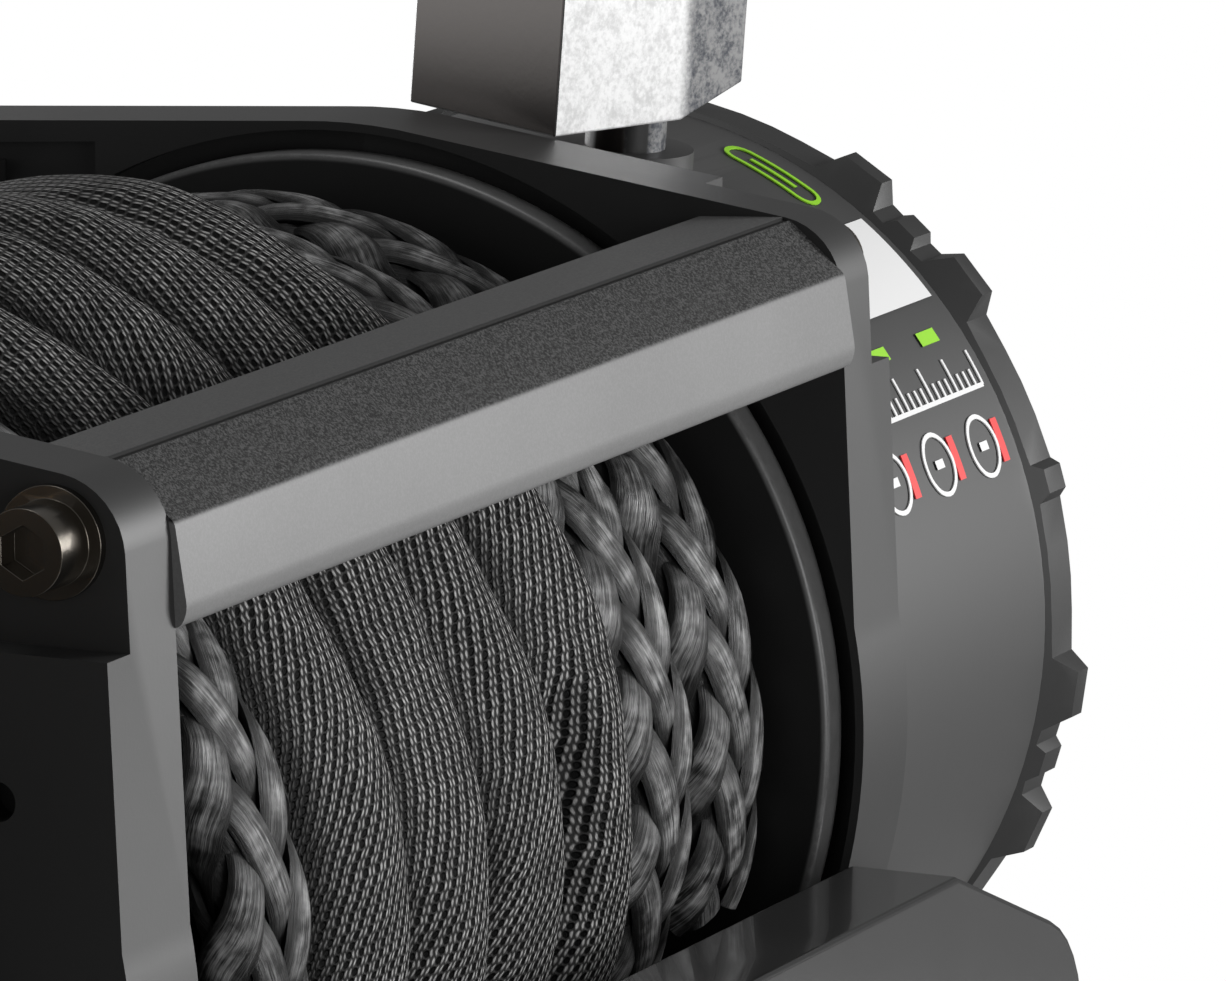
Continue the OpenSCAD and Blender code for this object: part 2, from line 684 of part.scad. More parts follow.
module ring_gear(l) linear_extrude(l) difference() {
    polygon(flat_round(ring_outer_r * cos(180 / ring_z), ring_z));
    rotate(180 / ring_z) polygon(gear_points(ring_z, ring_rp - addendum, ring_rp + dedendum, -backlash));
}
module output_ring_gear() color([0.45, 0.45, 0.46]) at_axis(output_ring_x) ring_gear(output_ring_l);
module clutch_ring_gear() color([0.45, 0.45, 0.46]) difference() {
    at_axis(clutch_ring_x) ring_gear(clutch_ring_l);
    at_clutch() translate([-notch_w / 2, -notch_w / 2, -lock_tip - notch_floor])
        cube([notch_w, notch_w, lock_tip]);
}
module sun(x, l) color([0.55, 0.55, 0.56]) at_axis(x) toothed(sun_z, shaft_r + shaft_air, l);
module planet(x, w, k) color([0.60, 0.60, 0.61]) {
    turn = 360 * k / planets;
    at_axis(x) rotate(turn) translate([centre_d, 0, 0])
        rotate(180 + 180 / planet_z + turn * sun_z / planet_z) toothed(planet_z, pin_r + run_fit, w);
}
module carrier(x, t, w, bore) at_axis(x) {
    ring(bore, carrier_r, t);
    for (k = [0:planets - 1]) rotate(360 * k / planets) translate([centre_d, 0, t - pin_root])
        rod(pin_r, w + 2 * side_air + pin_head + pin_root);
}
module output_carrier() color([0.50, 0.50, 0.51]) {
    carrier(carrier3_x, carrier_t, stage3_w, shaft_r + shaft_air);
    at_axis(bay_half + flange_t) ring(shaft_r + shaft_air, drum_bore_r,
        carrier3_x - bay_half - flange_t + boss_lap);
}
module stage2_carrier() color([0.50, 0.50, 0.51])
    carrier(carrier2_x, thin_carrier_t, stage2_w, shaft_r + shaft_air);
module stage1_carrier() color([0.50, 0.50, 0.51])
    carrier(carrier1_x, thin_carrier_t, stage1_w, shaft_r + shaft_air);
module stage3_sun() sun(gears3_x, carrier2_x - gears3_x);
module stage2_sun() sun(gears2_x, carrier1_x - gears2_x);
module stage1_sun() color([0.55, 0.55, 0.56]) at_axis(gears1_x)
    toothed(sun_z, shaft_r, stage1_w);
module stage3_planet_a() planet(gears3_x, stage3_w, 0);
module stage3_planet_b() planet(gears3_x, stage3_w, 1);
module stage3_planet_c() planet(gears3_x, stage3_w, 2);
module stage2_planet_a() planet(gears2_x, stage2_w, 0);
module stage2_planet_b() planet(gears2_x, stage2_w, 1);
module stage2_planet_c() planet(gears2_x, stage2_w, 2);
module stage1_planet_a() planet(gears1_x, stage1_w, 0);
module stage1_planet_b() planet(gears1_x, stage1_w, 1);
module stage1_planet_c() planet(gears1_x, stage1_w, 2);
module end_bearing() color([0.62, 0.62, 0.63]) at_axis(bearing_x)
    ring(shaft_r + run_fit, bearing_r, bearing_l);

// Clutch
module clutch_lever() color([0.80, 0.80, 0.81]) at_clutch() rotate(-lever_turn) difference() {
    union() {
        intersection() {
            translate([0, lever_w / 2, 0]) rotate([90, 0, 0]) linear_extrude(lever_w)
                polygon([[lever_nose, 0], [lever_tail - lever_end, 0], [lever_tail, lever_end_h],
                    [lever_tail, lever_h - lever_bevel], [lever_tail - lever_bevel, lever_h],
                    [lever_nose + lever_bevel, lever_h], [lever_nose, lever_h - lever_bevel]]);
            translate([lever_nose - over, 0, 0]) rotate([90, 0, 90]) linear_extrude(lever_l + 2 * over)
                polygon([[-lever_w / 2, 0], [lever_w / 2, 0], [lever_w / 2, lever_h - lever_bevel],
                    [lever_w / 2 - lever_bevel, lever_h], [lever_bevel - lever_w / 2, lever_h],
                    [-lever_w / 2, lever_h - lever_bevel]]);
        }
        translate([0, 0, -stem_l]) rod(stem_r, stem_l + lever_end_h);
    }
    translate([0, 0, -stem_l - over])
        rod(lock_r + pin_room, stem_l + over + lock_top + lock_lift + room);
}
module clutch_pin() color([0.70, 0.70, 0.71]) at_clutch() translate([0, 0, -lock_tip])
    rod(lock_r, lock_tip + lock_top);

// Drum and the rope wound on it
module drum() color([0.07, 0.07, 0.075]) at_axis(0) rotate_extrude($fn = round_fn) polygon([
    [drum_bore_r, -motor_face + hub_gap], [hub_r, -motor_face + hub_gap], [hub_r, -flange_back],
    [flange_r - rim_bevel, -flange_back], [flange_r, -flange_back + rim_bevel],
    [flange_r, -flange_face - rim_bevel], [flange_r - rim_bevel, -flange_face],
    [barrel_r, -flange_face], [barrel_r, flange_face], [flange_r - rim_bevel, flange_face],
    [flange_r, flange_face + rim_bevel], [flange_r, flange_back - rim_bevel],
    [flange_r - rim_bevel, flange_back], [hub_r, flange_back], [hub_r, gear_face + hub_gap],
    [drum_bore_r, gear_face + hub_gap]]);
module rope_core() color([0.12, 0.12, 0.13]) at_axis(-flange_face + gap)
    ring(barrel_r, core_r, 2 * (flange_face - gap));
// A ring of the wound tube: a flat hexagon at turn a, its middle at x
function lay_r(a, bulge) = helix_r + bulge * pow(max(0, cos(a - bulge_turn)), bulge_power);
function lay_x(a) = lay_start - turn_pitch * (a - lay_turn) / 360;
function wound_ring(a, w, bulge) = [for (k = [0:tube_sides - 1])
    let (t = 360 * k / tube_sides, r = lay_r(a, bulge) + turn_h / 2 * sin(t) / sin(60))
    [lay_x(a) - w / 2 * cos(t), r * sin(a), r * cos(a)]];
function wound_points(a0, loops, w, bulge, pile) = let (n = round(loops * loop_rings))
    [for (i = [0:n]) each wound_ring(a0 + 360 * loops * i / n, w, bulge + pile * sin(180 * i / n))];
function tube_faces(rings, sides) = concat(
    [for (k = [1:sides - 2]) [0, k, k + 1]],
    [for (i = [0:rings - 2], k = [0:sides - 1]) each [
        [i * sides + k, (i + 1) * sides + k, i * sides + (k + 1) % sides],
        [i * sides + (k + 1) % sides, (i + 1) * sides + k, (i + 1) * sides + (k + 1) % sides]]],
    [for (k = [1:sides - 2]) [(rings - 1) * sides, (rings - 1) * sides + k + 1, (rings - 1) * sides + k]]);
// The gap between one turn and the next is measured from point to point
module wound(a0, loops, w, bulge, pile) {
    points = wound_points(a0, loops, w, bulge, pile);
    step = loop_rings * tube_sides;
    echo(least_gap_between_turns = min([for (i = [0:len(points) - step - 1])
        let (ring = step + i - i % tube_sides)
        min([for (k = [0:tube_sides - 1]) norm(points[ring + k] - points[i])])]));
    translate([0, 0, axis_z]) polyhedron(points, tube_faces(len(points) / tube_sides, tube_sides));
}
sleeve_turn = lay_turn + 360 * right_loops + end_turn;
left_turn = sleeve_turn + 360 * sleeve_loops + end_turn;
module rope_turns_left() color([0.22, 0.22, 0.23])
    wound(left_turn, left_loops, rope_turn_w, rope_bulge, 0);
module sleeve_turns() color([0.10, 0.10, 0.11])
    wound(sleeve_turn, sleeve_loops, sleeve_turn_w, sleeve_bulge, sleeve_pile);
module rope_turns_right() color([0.22, 0.22, 0.23])
    wound(lay_turn, right_loops, rope_turn_w, rope_bulge, 0);

// Free run of rope and the closed thimble on its end
module rope_lead() color([0.22, 0.22, 0.23]) translate([lead_x, 0, axis_z]) {
    last = len(lead_points) - 1;
    points = [for (i = [0:last])
        let (p = lead_points[i], q = lead_points[max(0, i - 1)], s = lead_points[min(last, i + 1)],
            d = (s - q) / norm(s - q))
        each [for (k = [0:lead_sides - 1]) let (t = 360 * k / lead_sides)
            [rope_r * cos(t), p[0] - rope_r * sin(t) * d[1], p[1] + rope_r * sin(t) * d[0]]]];
    polyhedron(points, [for (f = tube_faces(last + 1, lead_sides)) [f[0], f[2], f[1]]]);
}
module rope_thimble() color([0.75, 0.75, 0.76]) {
    first = lead_points[0];
    last = lead_points[len(lead_points) - 1];
    lead_tilt = atan2(last[1] - first[1], first[0] - last[0]);
    translate([lead_x, last[0], axis_z + last[1]]) rotate([-lead_tilt, 0, 0])
        translate([0, -eye_r - throat_l - eye_tube_r, 0]) {
        difference() {
            union() {
                rotate([0, 90, 0]) rotate_extrude($fn = round_fn) translate([eye_r, 0])
                    circle(r = eye_tube_r, $fn = small_fn);
                translate([-eye_web_t / 2, 0, 0]) rotate([0, 90, 0])
                    cylinder(r = eye_r, h = eye_web_t, $fn = round_fn);
                rotate([-90, 0, 0]) rod(eye_tube_r, eye_r + throat_l + eye_tube_r);
            }
            translate([-eye_tube_r - over, 0, 0]) rotate([0, 90, 0]) rod(eye_bore_r, 2 * (eye_tube_r + over));
        }
    }
}

// Motor
module motor_flange() color([0.16, 0.16, 0.17]) difference() {
    motorward(0) ring(motor_shaft_r + room, motor_flange_r, motor_flange_t);
    motorward(motor_flange_t - ball_bearing_l) rod(front_bearing_r, ball_bearing_l + over);
    motor_bolt_places(-over) rod(motor_bolt_r, motor_flange_t + 2 * over);
}
module motor_case() color([0.12, 0.12, 0.125]) difference() {
    motorward(case_z) ring(motor_r - motor_t, motor_r, motor_l);
    terminal_places() rod(terminal_r + room, 2 * motor_r);
}
module sector(r_in, r_out, turn, l) intersection() {
    ring(r_in, r_out, l);
    linear_extrude(l)
        polygon([[0, 0], on_circle(2 * r_out, -turn / 2), [2 * r_out, 0], on_circle(2 * r_out, turn / 2)]);
}
module pole_shoes() color([0.40, 0.40, 0.41]) for (k = [0:poles - 1])
    motorward(core_z) rotate(360 * k / poles) sector(pole_r, motor_r - motor_t, pole_turn, core_l);
module field_coils() color([0.72, 0.38, 0.18]) for (k = [0:poles - 1])
    difference() {
        motorward(core_z - coil_over) rotate(360 * k / poles)
            sector(coil_inner_r, motor_r - motor_t - gap, coil_turn, core_l + 2 * coil_over);
        motorward(core_z - gap) rotate(360 * k / poles)
            sector(coil_inner_r / 2, motor_r, pole_turn + 1, core_l + 2 * gap);
    }
module motor_end_cap() color([0.16, 0.16, 0.17]) difference() {
    motorward(cap_z) rotate_extrude($fn = round_fn) polygon([[0, 0], [motor_r, 0],
        [motor_r, end_cap_t - cap_bevel], [motor_r - cap_bevel, end_cap_t], [0, end_cap_t]]);
    motorward(cap_z - over) rod(rear_bearing_r, ball_bearing_l + over + room);
}
module motor_bearings() color([0.62, 0.62, 0.63]) {
    motorward(motor_flange_t - ball_bearing_l) ring(motor_shaft_r + run_fit, front_bearing_r, ball_bearing_l);
    motorward(cap_z + bearing_seat) ring(motor_shaft_r + run_fit, rear_bearing_r, ball_bearing_l);
}
module motor_bolts() color([0.30, 0.30, 0.31]) motor_bolt_places(motor_flange_t)
    socket_screw(motor_bolt_r, motor_head_r, motor_head_h, motor_flange_t + motor_bolt_l - motor_bolt_end);
module brush_holder() color([0.35, 0.25, 0.15]) motorward(holder_z)
    ring(commutator_r + room, motor_r - motor_t, holder_t);
module brushes() color([0.15, 0.15, 0.15]) for (k = [0:poles - 1]) motorward(brush_z)
    rotate(45 + 360 * k / poles) translate([commutator_r + gap, -brush_w / 2, 0])
        cube([brush_h, brush_w, brush_l]);
module terminal_places() for (k = [0:terminals - 1]) motorward(terminal_z)
    rotate(180 + (k - (terminals - 1) / 2) * terminal_turn) rotate([0, -90, 0]) children();
module terminal_studs() color([0.80, 0.62, 0.30]) terminal_places() {
    translate([0, 0, motor_r - motor_t]) rod(terminal_r, motor_t + terminal_l);
    translate([0, 0, motor_r + insulator_h]) difference() {
        hex(nut_r, nut_h);
        translate([0, 0, -over]) rod(terminal_r, nut_h + 2 * over);
    }
}
module terminal_insulators() color([0.06, 0.06, 0.06]) terminal_places() difference() {
    union() {
        translate([0, 0, motor_r]) rod(insulator_r, insulator_h);
        translate([0, 0, motor_r - motor_t]) rod(terminal_r + room, motor_t);
    }
    translate([0, 0, motor_r - motor_t - over]) rod(terminal_r, motor_t + insulator_h + 2 * over);
}

// Rotor, shafts and the brake inside the drum
module armature() color([0.55, 0.35, 0.20]) motorward(core_z) rotate_extrude($fn = round_fn) polygon([
    [motor_shaft_r, -coil_over], [armature_r * armature_end_share, -coil_over],
    [armature_r * armature_step_share, 0], [armature_r, 0], [armature_r, core_l],
    [armature_r * armature_step_share, core_l], [armature_r * armature_end_share, core_l + coil_over],
    [motor_shaft_r, core_l + coil_over]]);
module commutator() color([0.75, 0.48, 0.28]) motorward(commutator_z)
    ring(motor_shaft_r, commutator_r, commutator_l);
module motor_shaft() color([0.65, 0.65, 0.66]) motorward(shaft_root)
    rod(motor_shaft_r, cap_z + bearing_seat + ball_bearing_l - shaft_root);
module shaft_coupling() color([0.50, 0.50, 0.51]) at_axis(shaft_start) difference() {
    rod(coupling_r, coupling_l);
    translate([0, 0, -over]) rod(motor_shaft_r, coupling_l / 2 + over);
    rod(shaft_r, coupling_l + over);
}
module drive_shaft() color([0.65, 0.65, 0.66]) at_axis(shaft_start + coupling_l / 2)
    rod(shaft_r, bearing_x + bearing_l - shaft_start - coupling_l / 2 + shaft_tail);
module load_brake() color([0.50, 0.44, 0.30]) at_axis(brake_x) {
    ring(shaft_r, brake_cam_r, brake_l);
    for (k = [0, 1]) rotate(180 * k) sector(brake_cam_r + gap, brake_r, brake_turn, brake_l);
}

mounting_tray();
foot_bolts();
motor_side_support();
gear_side_support();
front_tie_bar();
rear_tie_bar();
tie_bar_screws();
drum_bushes();
hawse_fairlead();
fairlead_bolts();
gear_housing();
gear_end_cover();
cover_screws();
output_ring_gear();
clutch_ring_gear();
end_bearing();
motor_flange();
motor_case();
pole_shoes();
field_coils();
motor_end_cap();
brush_holder();
brushes();
motor_bearings();
motor_bolts();
terminal_studs();
terminal_insulators();
rope_lead();
rope_thimble();
drum();
output_carrier();
rope_core();
rope_turns_left();
sleeve_turns();
rope_turns_right();
armature();
commutator();
motor_shaft();
shaft_coupling();
drive_shaft();
load_brake();
stage1_sun();
stage1_carrier();
stage1_planet_a();
stage1_planet_b();
stage1_planet_c();
stage2_sun();
stage2_carrier();
stage2_planet_a();
stage2_planet_b();
stage2_planet_c();
stage3_sun();
stage3_planet_a();
stage3_planet_b();
stage3_planet_c();
clutch_lever();
clutch_pin();
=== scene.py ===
import json
import math
import bmesh
import bpy
import numpy as np
from mathutils import Matrix, Vector

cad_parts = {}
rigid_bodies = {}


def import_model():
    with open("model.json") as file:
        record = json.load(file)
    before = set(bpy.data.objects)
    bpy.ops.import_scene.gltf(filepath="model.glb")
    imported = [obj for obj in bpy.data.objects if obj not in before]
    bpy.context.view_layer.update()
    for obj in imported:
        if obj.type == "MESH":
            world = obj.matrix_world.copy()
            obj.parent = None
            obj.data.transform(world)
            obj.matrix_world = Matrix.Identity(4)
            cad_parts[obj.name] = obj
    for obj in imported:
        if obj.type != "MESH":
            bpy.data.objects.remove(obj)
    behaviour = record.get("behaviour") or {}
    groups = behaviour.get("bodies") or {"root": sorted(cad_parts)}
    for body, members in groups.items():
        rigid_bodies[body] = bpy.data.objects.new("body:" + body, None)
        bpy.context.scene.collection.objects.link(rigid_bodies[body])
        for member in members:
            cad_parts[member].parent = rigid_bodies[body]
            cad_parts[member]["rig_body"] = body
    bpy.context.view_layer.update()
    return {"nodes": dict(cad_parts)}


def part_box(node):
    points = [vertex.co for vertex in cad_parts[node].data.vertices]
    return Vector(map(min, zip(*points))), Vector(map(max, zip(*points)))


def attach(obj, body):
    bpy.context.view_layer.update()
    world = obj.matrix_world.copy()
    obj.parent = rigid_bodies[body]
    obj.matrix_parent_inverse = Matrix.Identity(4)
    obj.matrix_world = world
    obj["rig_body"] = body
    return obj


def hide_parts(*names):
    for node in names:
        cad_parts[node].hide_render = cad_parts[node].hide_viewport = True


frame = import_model()
nodes = frame["nodes"]
mm = 0.001
axisZ = 106.0  # height of the drum axis, mm
print("frame loaded")


class Socket:
    # A shader value with arithmetic; node() adds any other node
    def __init__(self, tree, out):
        self.tree = tree
        self.out = out

    def node(self, kind, inputs, output=0, **settings):
        n = self.tree.nodes.new("ShaderNode" + kind)
        for key, value in settings.items():
            setattr(n, key, value)
        for key, value in inputs.items():
            if isinstance(value, Socket):
                self.tree.links.new(value.out, n.inputs[key])
            else:
                n.inputs[key].default_value = value
        return Socket(self.tree, n.outputs[output])

    def math(self, operation, *values):
        return self.node("Math", dict(enumerate(values)), operation=operation)

    def __add__(self, other):
        return self.math("ADD", self, other)

    def __radd__(self, other):
        return self.math("ADD", other, self)

    def __sub__(self, other):
        return self.math("SUBTRACT", self, other)

    def __rsub__(self, other):
        return self.math("SUBTRACT", other, self)

    def __mul__(self, other):
        return self.math("MULTIPLY", self, other)

    def __rmul__(self, other):
        return self.math("MULTIPLY", other, self)

    def __pow__(self, other):
        return self.math("POWER", self, other)

    def __abs__(self):
        return self.math("ABSOLUTE", self)

    def floor(self):
        return self.math("FLOOR", self)

    def step(self, low, high):
        # Smoothly from 0 at low to 1 at high
        return self.node("MapRange", {0: self, 1: low, 2: high}, interpolation_type="SMOOTHSTEP")

    def mix(self, low, high):
        # Colour low where the value is 0, colour high where it is 1
        return self.node("Mix", {0: self, 6: low, 7: high}, output=2, data_type="RGBA")

    def greys(self, low, high):
        return self.mix(grey(low), grey(high))


class Place(Socket):
    # A shader vector: its parts, a stretched copy and noise read at it
    def vector(self, kind, output=0, inputs=None, **settings):
        return Place(self.tree, self.node(kind, inputs or {}, output, **settings).out)

    def part(self, axis):
        return self.node("SeparateXYZ", {0: self}, output="XYZ".index(axis))

    def scaled(self, x, y, z):
        return self.vector("Mapping", inputs={"Vector": self, "Scale": (x, y, z)})

    def noise(self, scale, detail=3.0, rough=0.55):
        inputs = {"Vector": self, "Scale": scale, "Detail": detail, "Roughness": rough}
        return self.node("TexNoise", inputs)


def grey(value, warm=0.0):
    return (value * (1 + warm), value, value * (1 - warm), 1)


def material(name, colour, rough, metal=0.0, paint=None, uv=None, **constants):
    # paint(place) returns shader inputs by name; "height" is a relief in metres
    mat = bpy.data.materials.new(name)
    mat.use_nodes = True
    tree = mat.node_tree
    shader = tree.nodes["Principled BSDF"]
    shader.inputs["Base Color"].default_value = colour
    shader.inputs["Roughness"].default_value = rough
    shader.inputs["Metallic"].default_value = metal
    for key, value in constants.items():
        shader.inputs[key.replace("_", " ")].default_value = value
    if paint:
        start = Place(tree, None)
        place = start.vector("UVMap", uv_map=uv) if uv else start.vector("TexCoord", "Object")
        for key, value in paint(place).items():
            if key == "height":
                value = value.node("Bump", {"Height": value, "Distance": 1.0, "Strength": 1.0})
                key = "Normal"
            tree.links.new(value.out, shader.inputs[key])
    return mat


def grained(fine, deep, scale=900.0, broader=12):
    # Paint with a fine relief over a broader one, both in metres
    def paint(place):
        grain = place.noise(scale, 2.0)
        broad = place.noise(scale / broader, 2.0)
        return {"height": (grain - 0.5) * fine + (broad - 0.5) * deep}
    return paint


def unit(v):
    return v / np.maximum(np.linalg.norm(v, axis=-1, keepdims=True), 1e-9)


def ahead(line, closed=False):
    # Direction along a line of points
    if closed:
        return unit(np.roll(line, -1, 0) - np.roll(line, 1, 0))
    return unit(np.gradient(line, axis=0))


def squareTo(along, v):
    # What is left of v at right angles to the direction along
    return unit(v - along * (v * along).sum(-1, keepdims=True))


def lengthAlong(line):
    # Distance from the first point to each point
    return np.concatenate([[0], np.cumsum(np.linalg.norm(np.diff(line, axis=0), axis=1))])


def squared(t, power):
    # A cosine or sine whose power under 1 gives the circle corners
    return np.sign(t) * np.abs(t) ** power


def wander(s, rng, length, strength):
    # A smooth random line: three sines whose waves are about this length
    total = 0.0
    for k in range(3):
        wave = length * rng.uniform(0.6, 1.6)
        total = total + np.sin(2 * np.pi * s / wave + rng.uniform(0, 6.28))
    return strength * total / 2


def outward(turn):
    # Direction from the drum axis at a turn in radians, 0 at the top and growing to the rear
    return np.stack([0 * turn, np.sin(turn), np.cos(turn)], -1)


def aboutAxis(x, radius, turn):
    # Points at a radius from the drum axis, at the same turn
    return np.stack(np.broadcast_arrays(x, radius * np.sin(turn), axisZ + radius * np.cos(turn)), -1)


def rounded(points, radii, steps, longest=0.45):
    # Each corner becomes a curve that reaches its radius, or at most the longest share of
    # a side, along both sides
    points = np.array(points, float)
    out = []
    for i, p in enumerate(points):
        a, b = points[i - 1] - p, points[(i + 1) % len(points)] - p
        la, lb = np.linalg.norm(a), np.linalg.norm(b)
        reach = min(radii[i], la * longest, lb * longest)
        start, end = p + a / la * reach, p + b / lb * reach
        t = np.linspace(0, 1, steps)[:, None]
        out.append((1 - t) ** 2 * start + 2 * t * (1 - t) * p + t ** 2 * end)
    return np.concatenate(out)


def roundedBox(low, high, corner, steps):
    # The outline of a flat box whose corners are quarter turns of this radius on each axis
    out = []
    for sx, sy, start in [(1, 1, 0), (-1, 1, 90), (-1, -1, 180), (1, -1, 270)]:
        t = np.radians(np.linspace(start, start + 90, steps))
        x = (high if sx > 0 else low)[0] - sx * corner[0] + corner[0] * np.cos(t)
        y = (high if sy > 0 else low)[1] - sy * corner[1] + corner[1] * np.sin(t)
        out.append(np.stack([x, y], -1))
    return np.concatenate(out)


def grid(points, wrapRows=False, wrapCols=False, uv=None):
    # One surface: points[row, column], and the place of each corner in the texture
    rows, cols = points.shape[:2]
    a, b = np.meshgrid(np.arange(rows - (not wrapRows)), np.arange(cols - (not wrapCols)),
                       indexing="ij")
    corners = [(a, b), (a + 1, b), (a + 1, b + 1), (a, b + 1)]
    faces = np.stack([(i % rows) * cols + j % cols for i, j in corners], -1).reshape(-1, 4)
    spots = None
    if uv is not None:
        spots = np.stack([uv[i, j] for i, j in corners], -2).reshape(-1, uv.shape[-1])
    return points.reshape(-1, 3), faces, spots


def tube(points, uv):
    # A closed skin round a path: rings of points, with both ends drawn to a point
    first = np.repeat(points[:1].mean(1, keepdims=True), points.shape[1], 1)
    last = np.repeat(points[-1:].mean(1, keepdims=True), points.shape[1], 1)
    uv = np.concatenate([uv[:1], uv, uv[-1:]])
    return grid(np.concatenate([first, points, last]), wrapCols=True, uv=uv)


def shaded(name, mesh, mats, sharp):
    # A new object with smooth faces, whose edges are sharp past this angle in degrees
    for mat in mats:
        mesh.materials.append(mat)
    mesh.polygons.foreach_set("use_smooth", [True] * len(mesh.polygons))
    mesh.set_sharp_from_angle(angle=math.radians(sharp))
    obj = bpy.data.objects.new(name, mesh)
    bpy.context.scene.collection.objects.link(obj)
    return obj


joining = {"weld": 2e-6, "merge": 1e-6, "flat": 0.4, "edge": 28.0}  # metres, then degrees


def piece(name, surfaces, mat, sharp=35.0, capped=False):
    # One object from surfaces in millimetres; capped closes its open ends with flat faces
    count = 0
    allPoints, allFaces, allSpots = [], [], []
    for points, faces, spots in surfaces:
        allPoints.append(points)
        allFaces.append(faces + count)
        allSpots.append(np.zeros((faces.size, 4)) if spots is None else spots)
        count += len(points)
    mesh = bpy.data.meshes.new(name)
    mesh.from_pydata((np.concatenate(allPoints) * mm).tolist(), [], np.concatenate(allFaces).tolist())
    spots = np.concatenate(allSpots).astype(np.float32)
    for first, layer in ((0, "lay"), (2, "crest")):
        mesh.uv_layers.new(name=layer).data.foreach_set("uv", spots[:, first:first + 2].ravel())
    work = bmesh.new()
    work.from_mesh(mesh)
    bmesh.ops.remove_doubles(work, verts=work.verts, dist=joining["weld"])
    if capped:
        bmesh.ops.holes_fill(work, edges=[e for e in work.edges if e.is_boundary], sides=0)
    bmesh.ops.recalc_face_normals(work, faces=work.faces)
    work.to_mesh(mesh)
    work.free()
    return shaded(name, mesh, [mat], sharp)


def settled(obj, cadNode):
    # A new piece rides and stands where its CAD node does
    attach(obj, nodes[cadNode]["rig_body"])
    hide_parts(cadNode)
    return obj


def dressed(cadNode, mat, bevel, steps=2, edge=None):
    # A clean copy of a CAD piece with rounded edges, in a material of their own if given
    mesh = nodes[cadNode].data.copy()
    work = bmesh.new()
    work.from_mesh(mesh)
    bmesh.ops.remove_doubles(work, verts=work.verts, dist=joining["merge"])
    bmesh.ops.dissolve_limit(work, angle_limit=math.radians(joining["flat"]),
                             verts=work.verts, edges=work.edges)
    work.to_mesh(mesh)
    work.free()
    mesh.materials.clear()
    first, *rest = cadNode.split("_")
    name = first + "".join(word.title() for word in rest)
    obj = shaded(name, mesh, [mat, edge] if edge else [mat], joining["edge"])
    mod = obj.modifiers.new("rounded edges", "BEVEL")
    mod.width = bevel * mm
    mod.segments = steps
    mod.limit_method = "ANGLE"
    mod.angle_limit = math.radians(joining["edge"])
    mod.harden_normals = True
    mod.use_clamp_overlap = True
    if edge:
        mod.material = 1
    return settled(obj, cadNode)


def dressAll(rows):
    for cadNode, paint, bevel, slotName, steps in rows:
        dressed(cadNode, finish[paint], bevel, steps)


# Paints of the castings and machined pieces
finish = {
    "casting": material("black casting", grey(0.022), 0.46, paint=grained(9e-6, 2.2e-5, 1500.0)),
    "tray": material("black tray coat", grey(0.02), 0.5, paint=grained(8e-6, 3e-5, 1200.0)),
    "gearbox": material("charcoal gearbox", grey(0.036), 0.52, paint=grained(7e-6, 2e-5, 1300.0)),
    "cover": material("cover black", grey(0.014), 0.5, paint=grained(9e-6, 2e-5, 1500.0)),
    "oxide": material("black nickel", (0.16, 0.145, 0.125, 1), 0.2, 1.0, grained(3e-6, 1e-5)),
    "plated": material("zinc plate", grey(0.55), 0.3, 1.0, grained(2e-6, 6e-6)),
    "steel": material("ground steel", grey(0.42), 0.32, 1.0, grained(2e-6, 5e-6)),
    "bronze": material("bronze", (0.45, 0.26, 0.1, 1), 0.35, 1.0, grained(2e-6, 5e-6)),
    "copper": material("copper wire", (0.55, 0.2, 0.08, 1), 0.38, 1.0, grained(2e-5, 3e-5, 500.0)),
    "carbon": material("carbon", grey(0.03), 0.6),
    "plastic": material("moulded plastic", grey(0.015), 0.45, paint=grained(5e-6, 1e-5)),
    "motor": material("motor paint", grey(0.02), 0.38, paint=grained(7e-6, 4e-5, 1100.0)),
    "stainless": material("stainless", grey(0.58), 0.24, 1.0, grained(2e-6, 8e-6)),
    "lining": material("brake lining", (0.2, 0.15, 0.09, 1), 0.75, paint=grained(2e-5, 3e-5)),
}
print("paints ready")

# Supports, tray and screws: bevel in mm, and its steps at the end of each row
dressAll([
    ("motor_side_support", "casting", 1.6, "support_casting", 3),
    ("gear_side_support", "casting", 1.6, "support_casting", 3),
    ("mounting_tray", "tray", 0.8, "tray_coat", 2),
    ("foot_bolts", "plated", 0.3, "plated_steel", 2),
    ("tie_bar_screws", "oxide", 0.5, "black_oxide_steel", 3),
    ("drum_bushes", "bronze", 0.4, "bronze", 2),
    ("fairlead_bolts", "oxide", 0.5, "black_oxide_steel", 3),
])
print("supports and tray done")

# Tie bars: a rounded section carried between the supports. The section is in mm from the
# drum axis, and the places where its paint changes are in metres on the piece.
frontBar = {
    "half": 118.0,
    "section": [(-66.3, 85.7), (-81.9, 86.68), (-82.2, 86.1), (-82.95, 86.15), (-83.2, 86.25),
                (-93.2, 77.9), (-95.2, 65.1), (-94.1, 62.4), (-90.0, 62.0), (-66.3, 80.0)],
    "rounds": [0.6, 0.25, 0.1, 0.1, 0.3, 0.9, 1.4, 1.2, 0.8, 0.6],
    "steps": 5, "sharp": 50.0,
    "slopeUp": (0.1835, 0.1842), "stripBack": (-0.0832, -0.0826),
    "grooveFront": (-0.0834, -0.0831), "grooveBack": (-0.0820, -0.0817), "grooveUp": (0.1915, 0.1918),
    # The groove tone on the next line is painted shade, near black
    "face": (0.15, 0.225), "sand": (0.01, 0.085), "strip": (0.075, 0.105), "groove": 0.002,
    "rough": 0.45, "sandRougher": 0.27, "stripRougher": 0.25, "grain": 1.2e-5, "sandGrain": 9e-5,
}


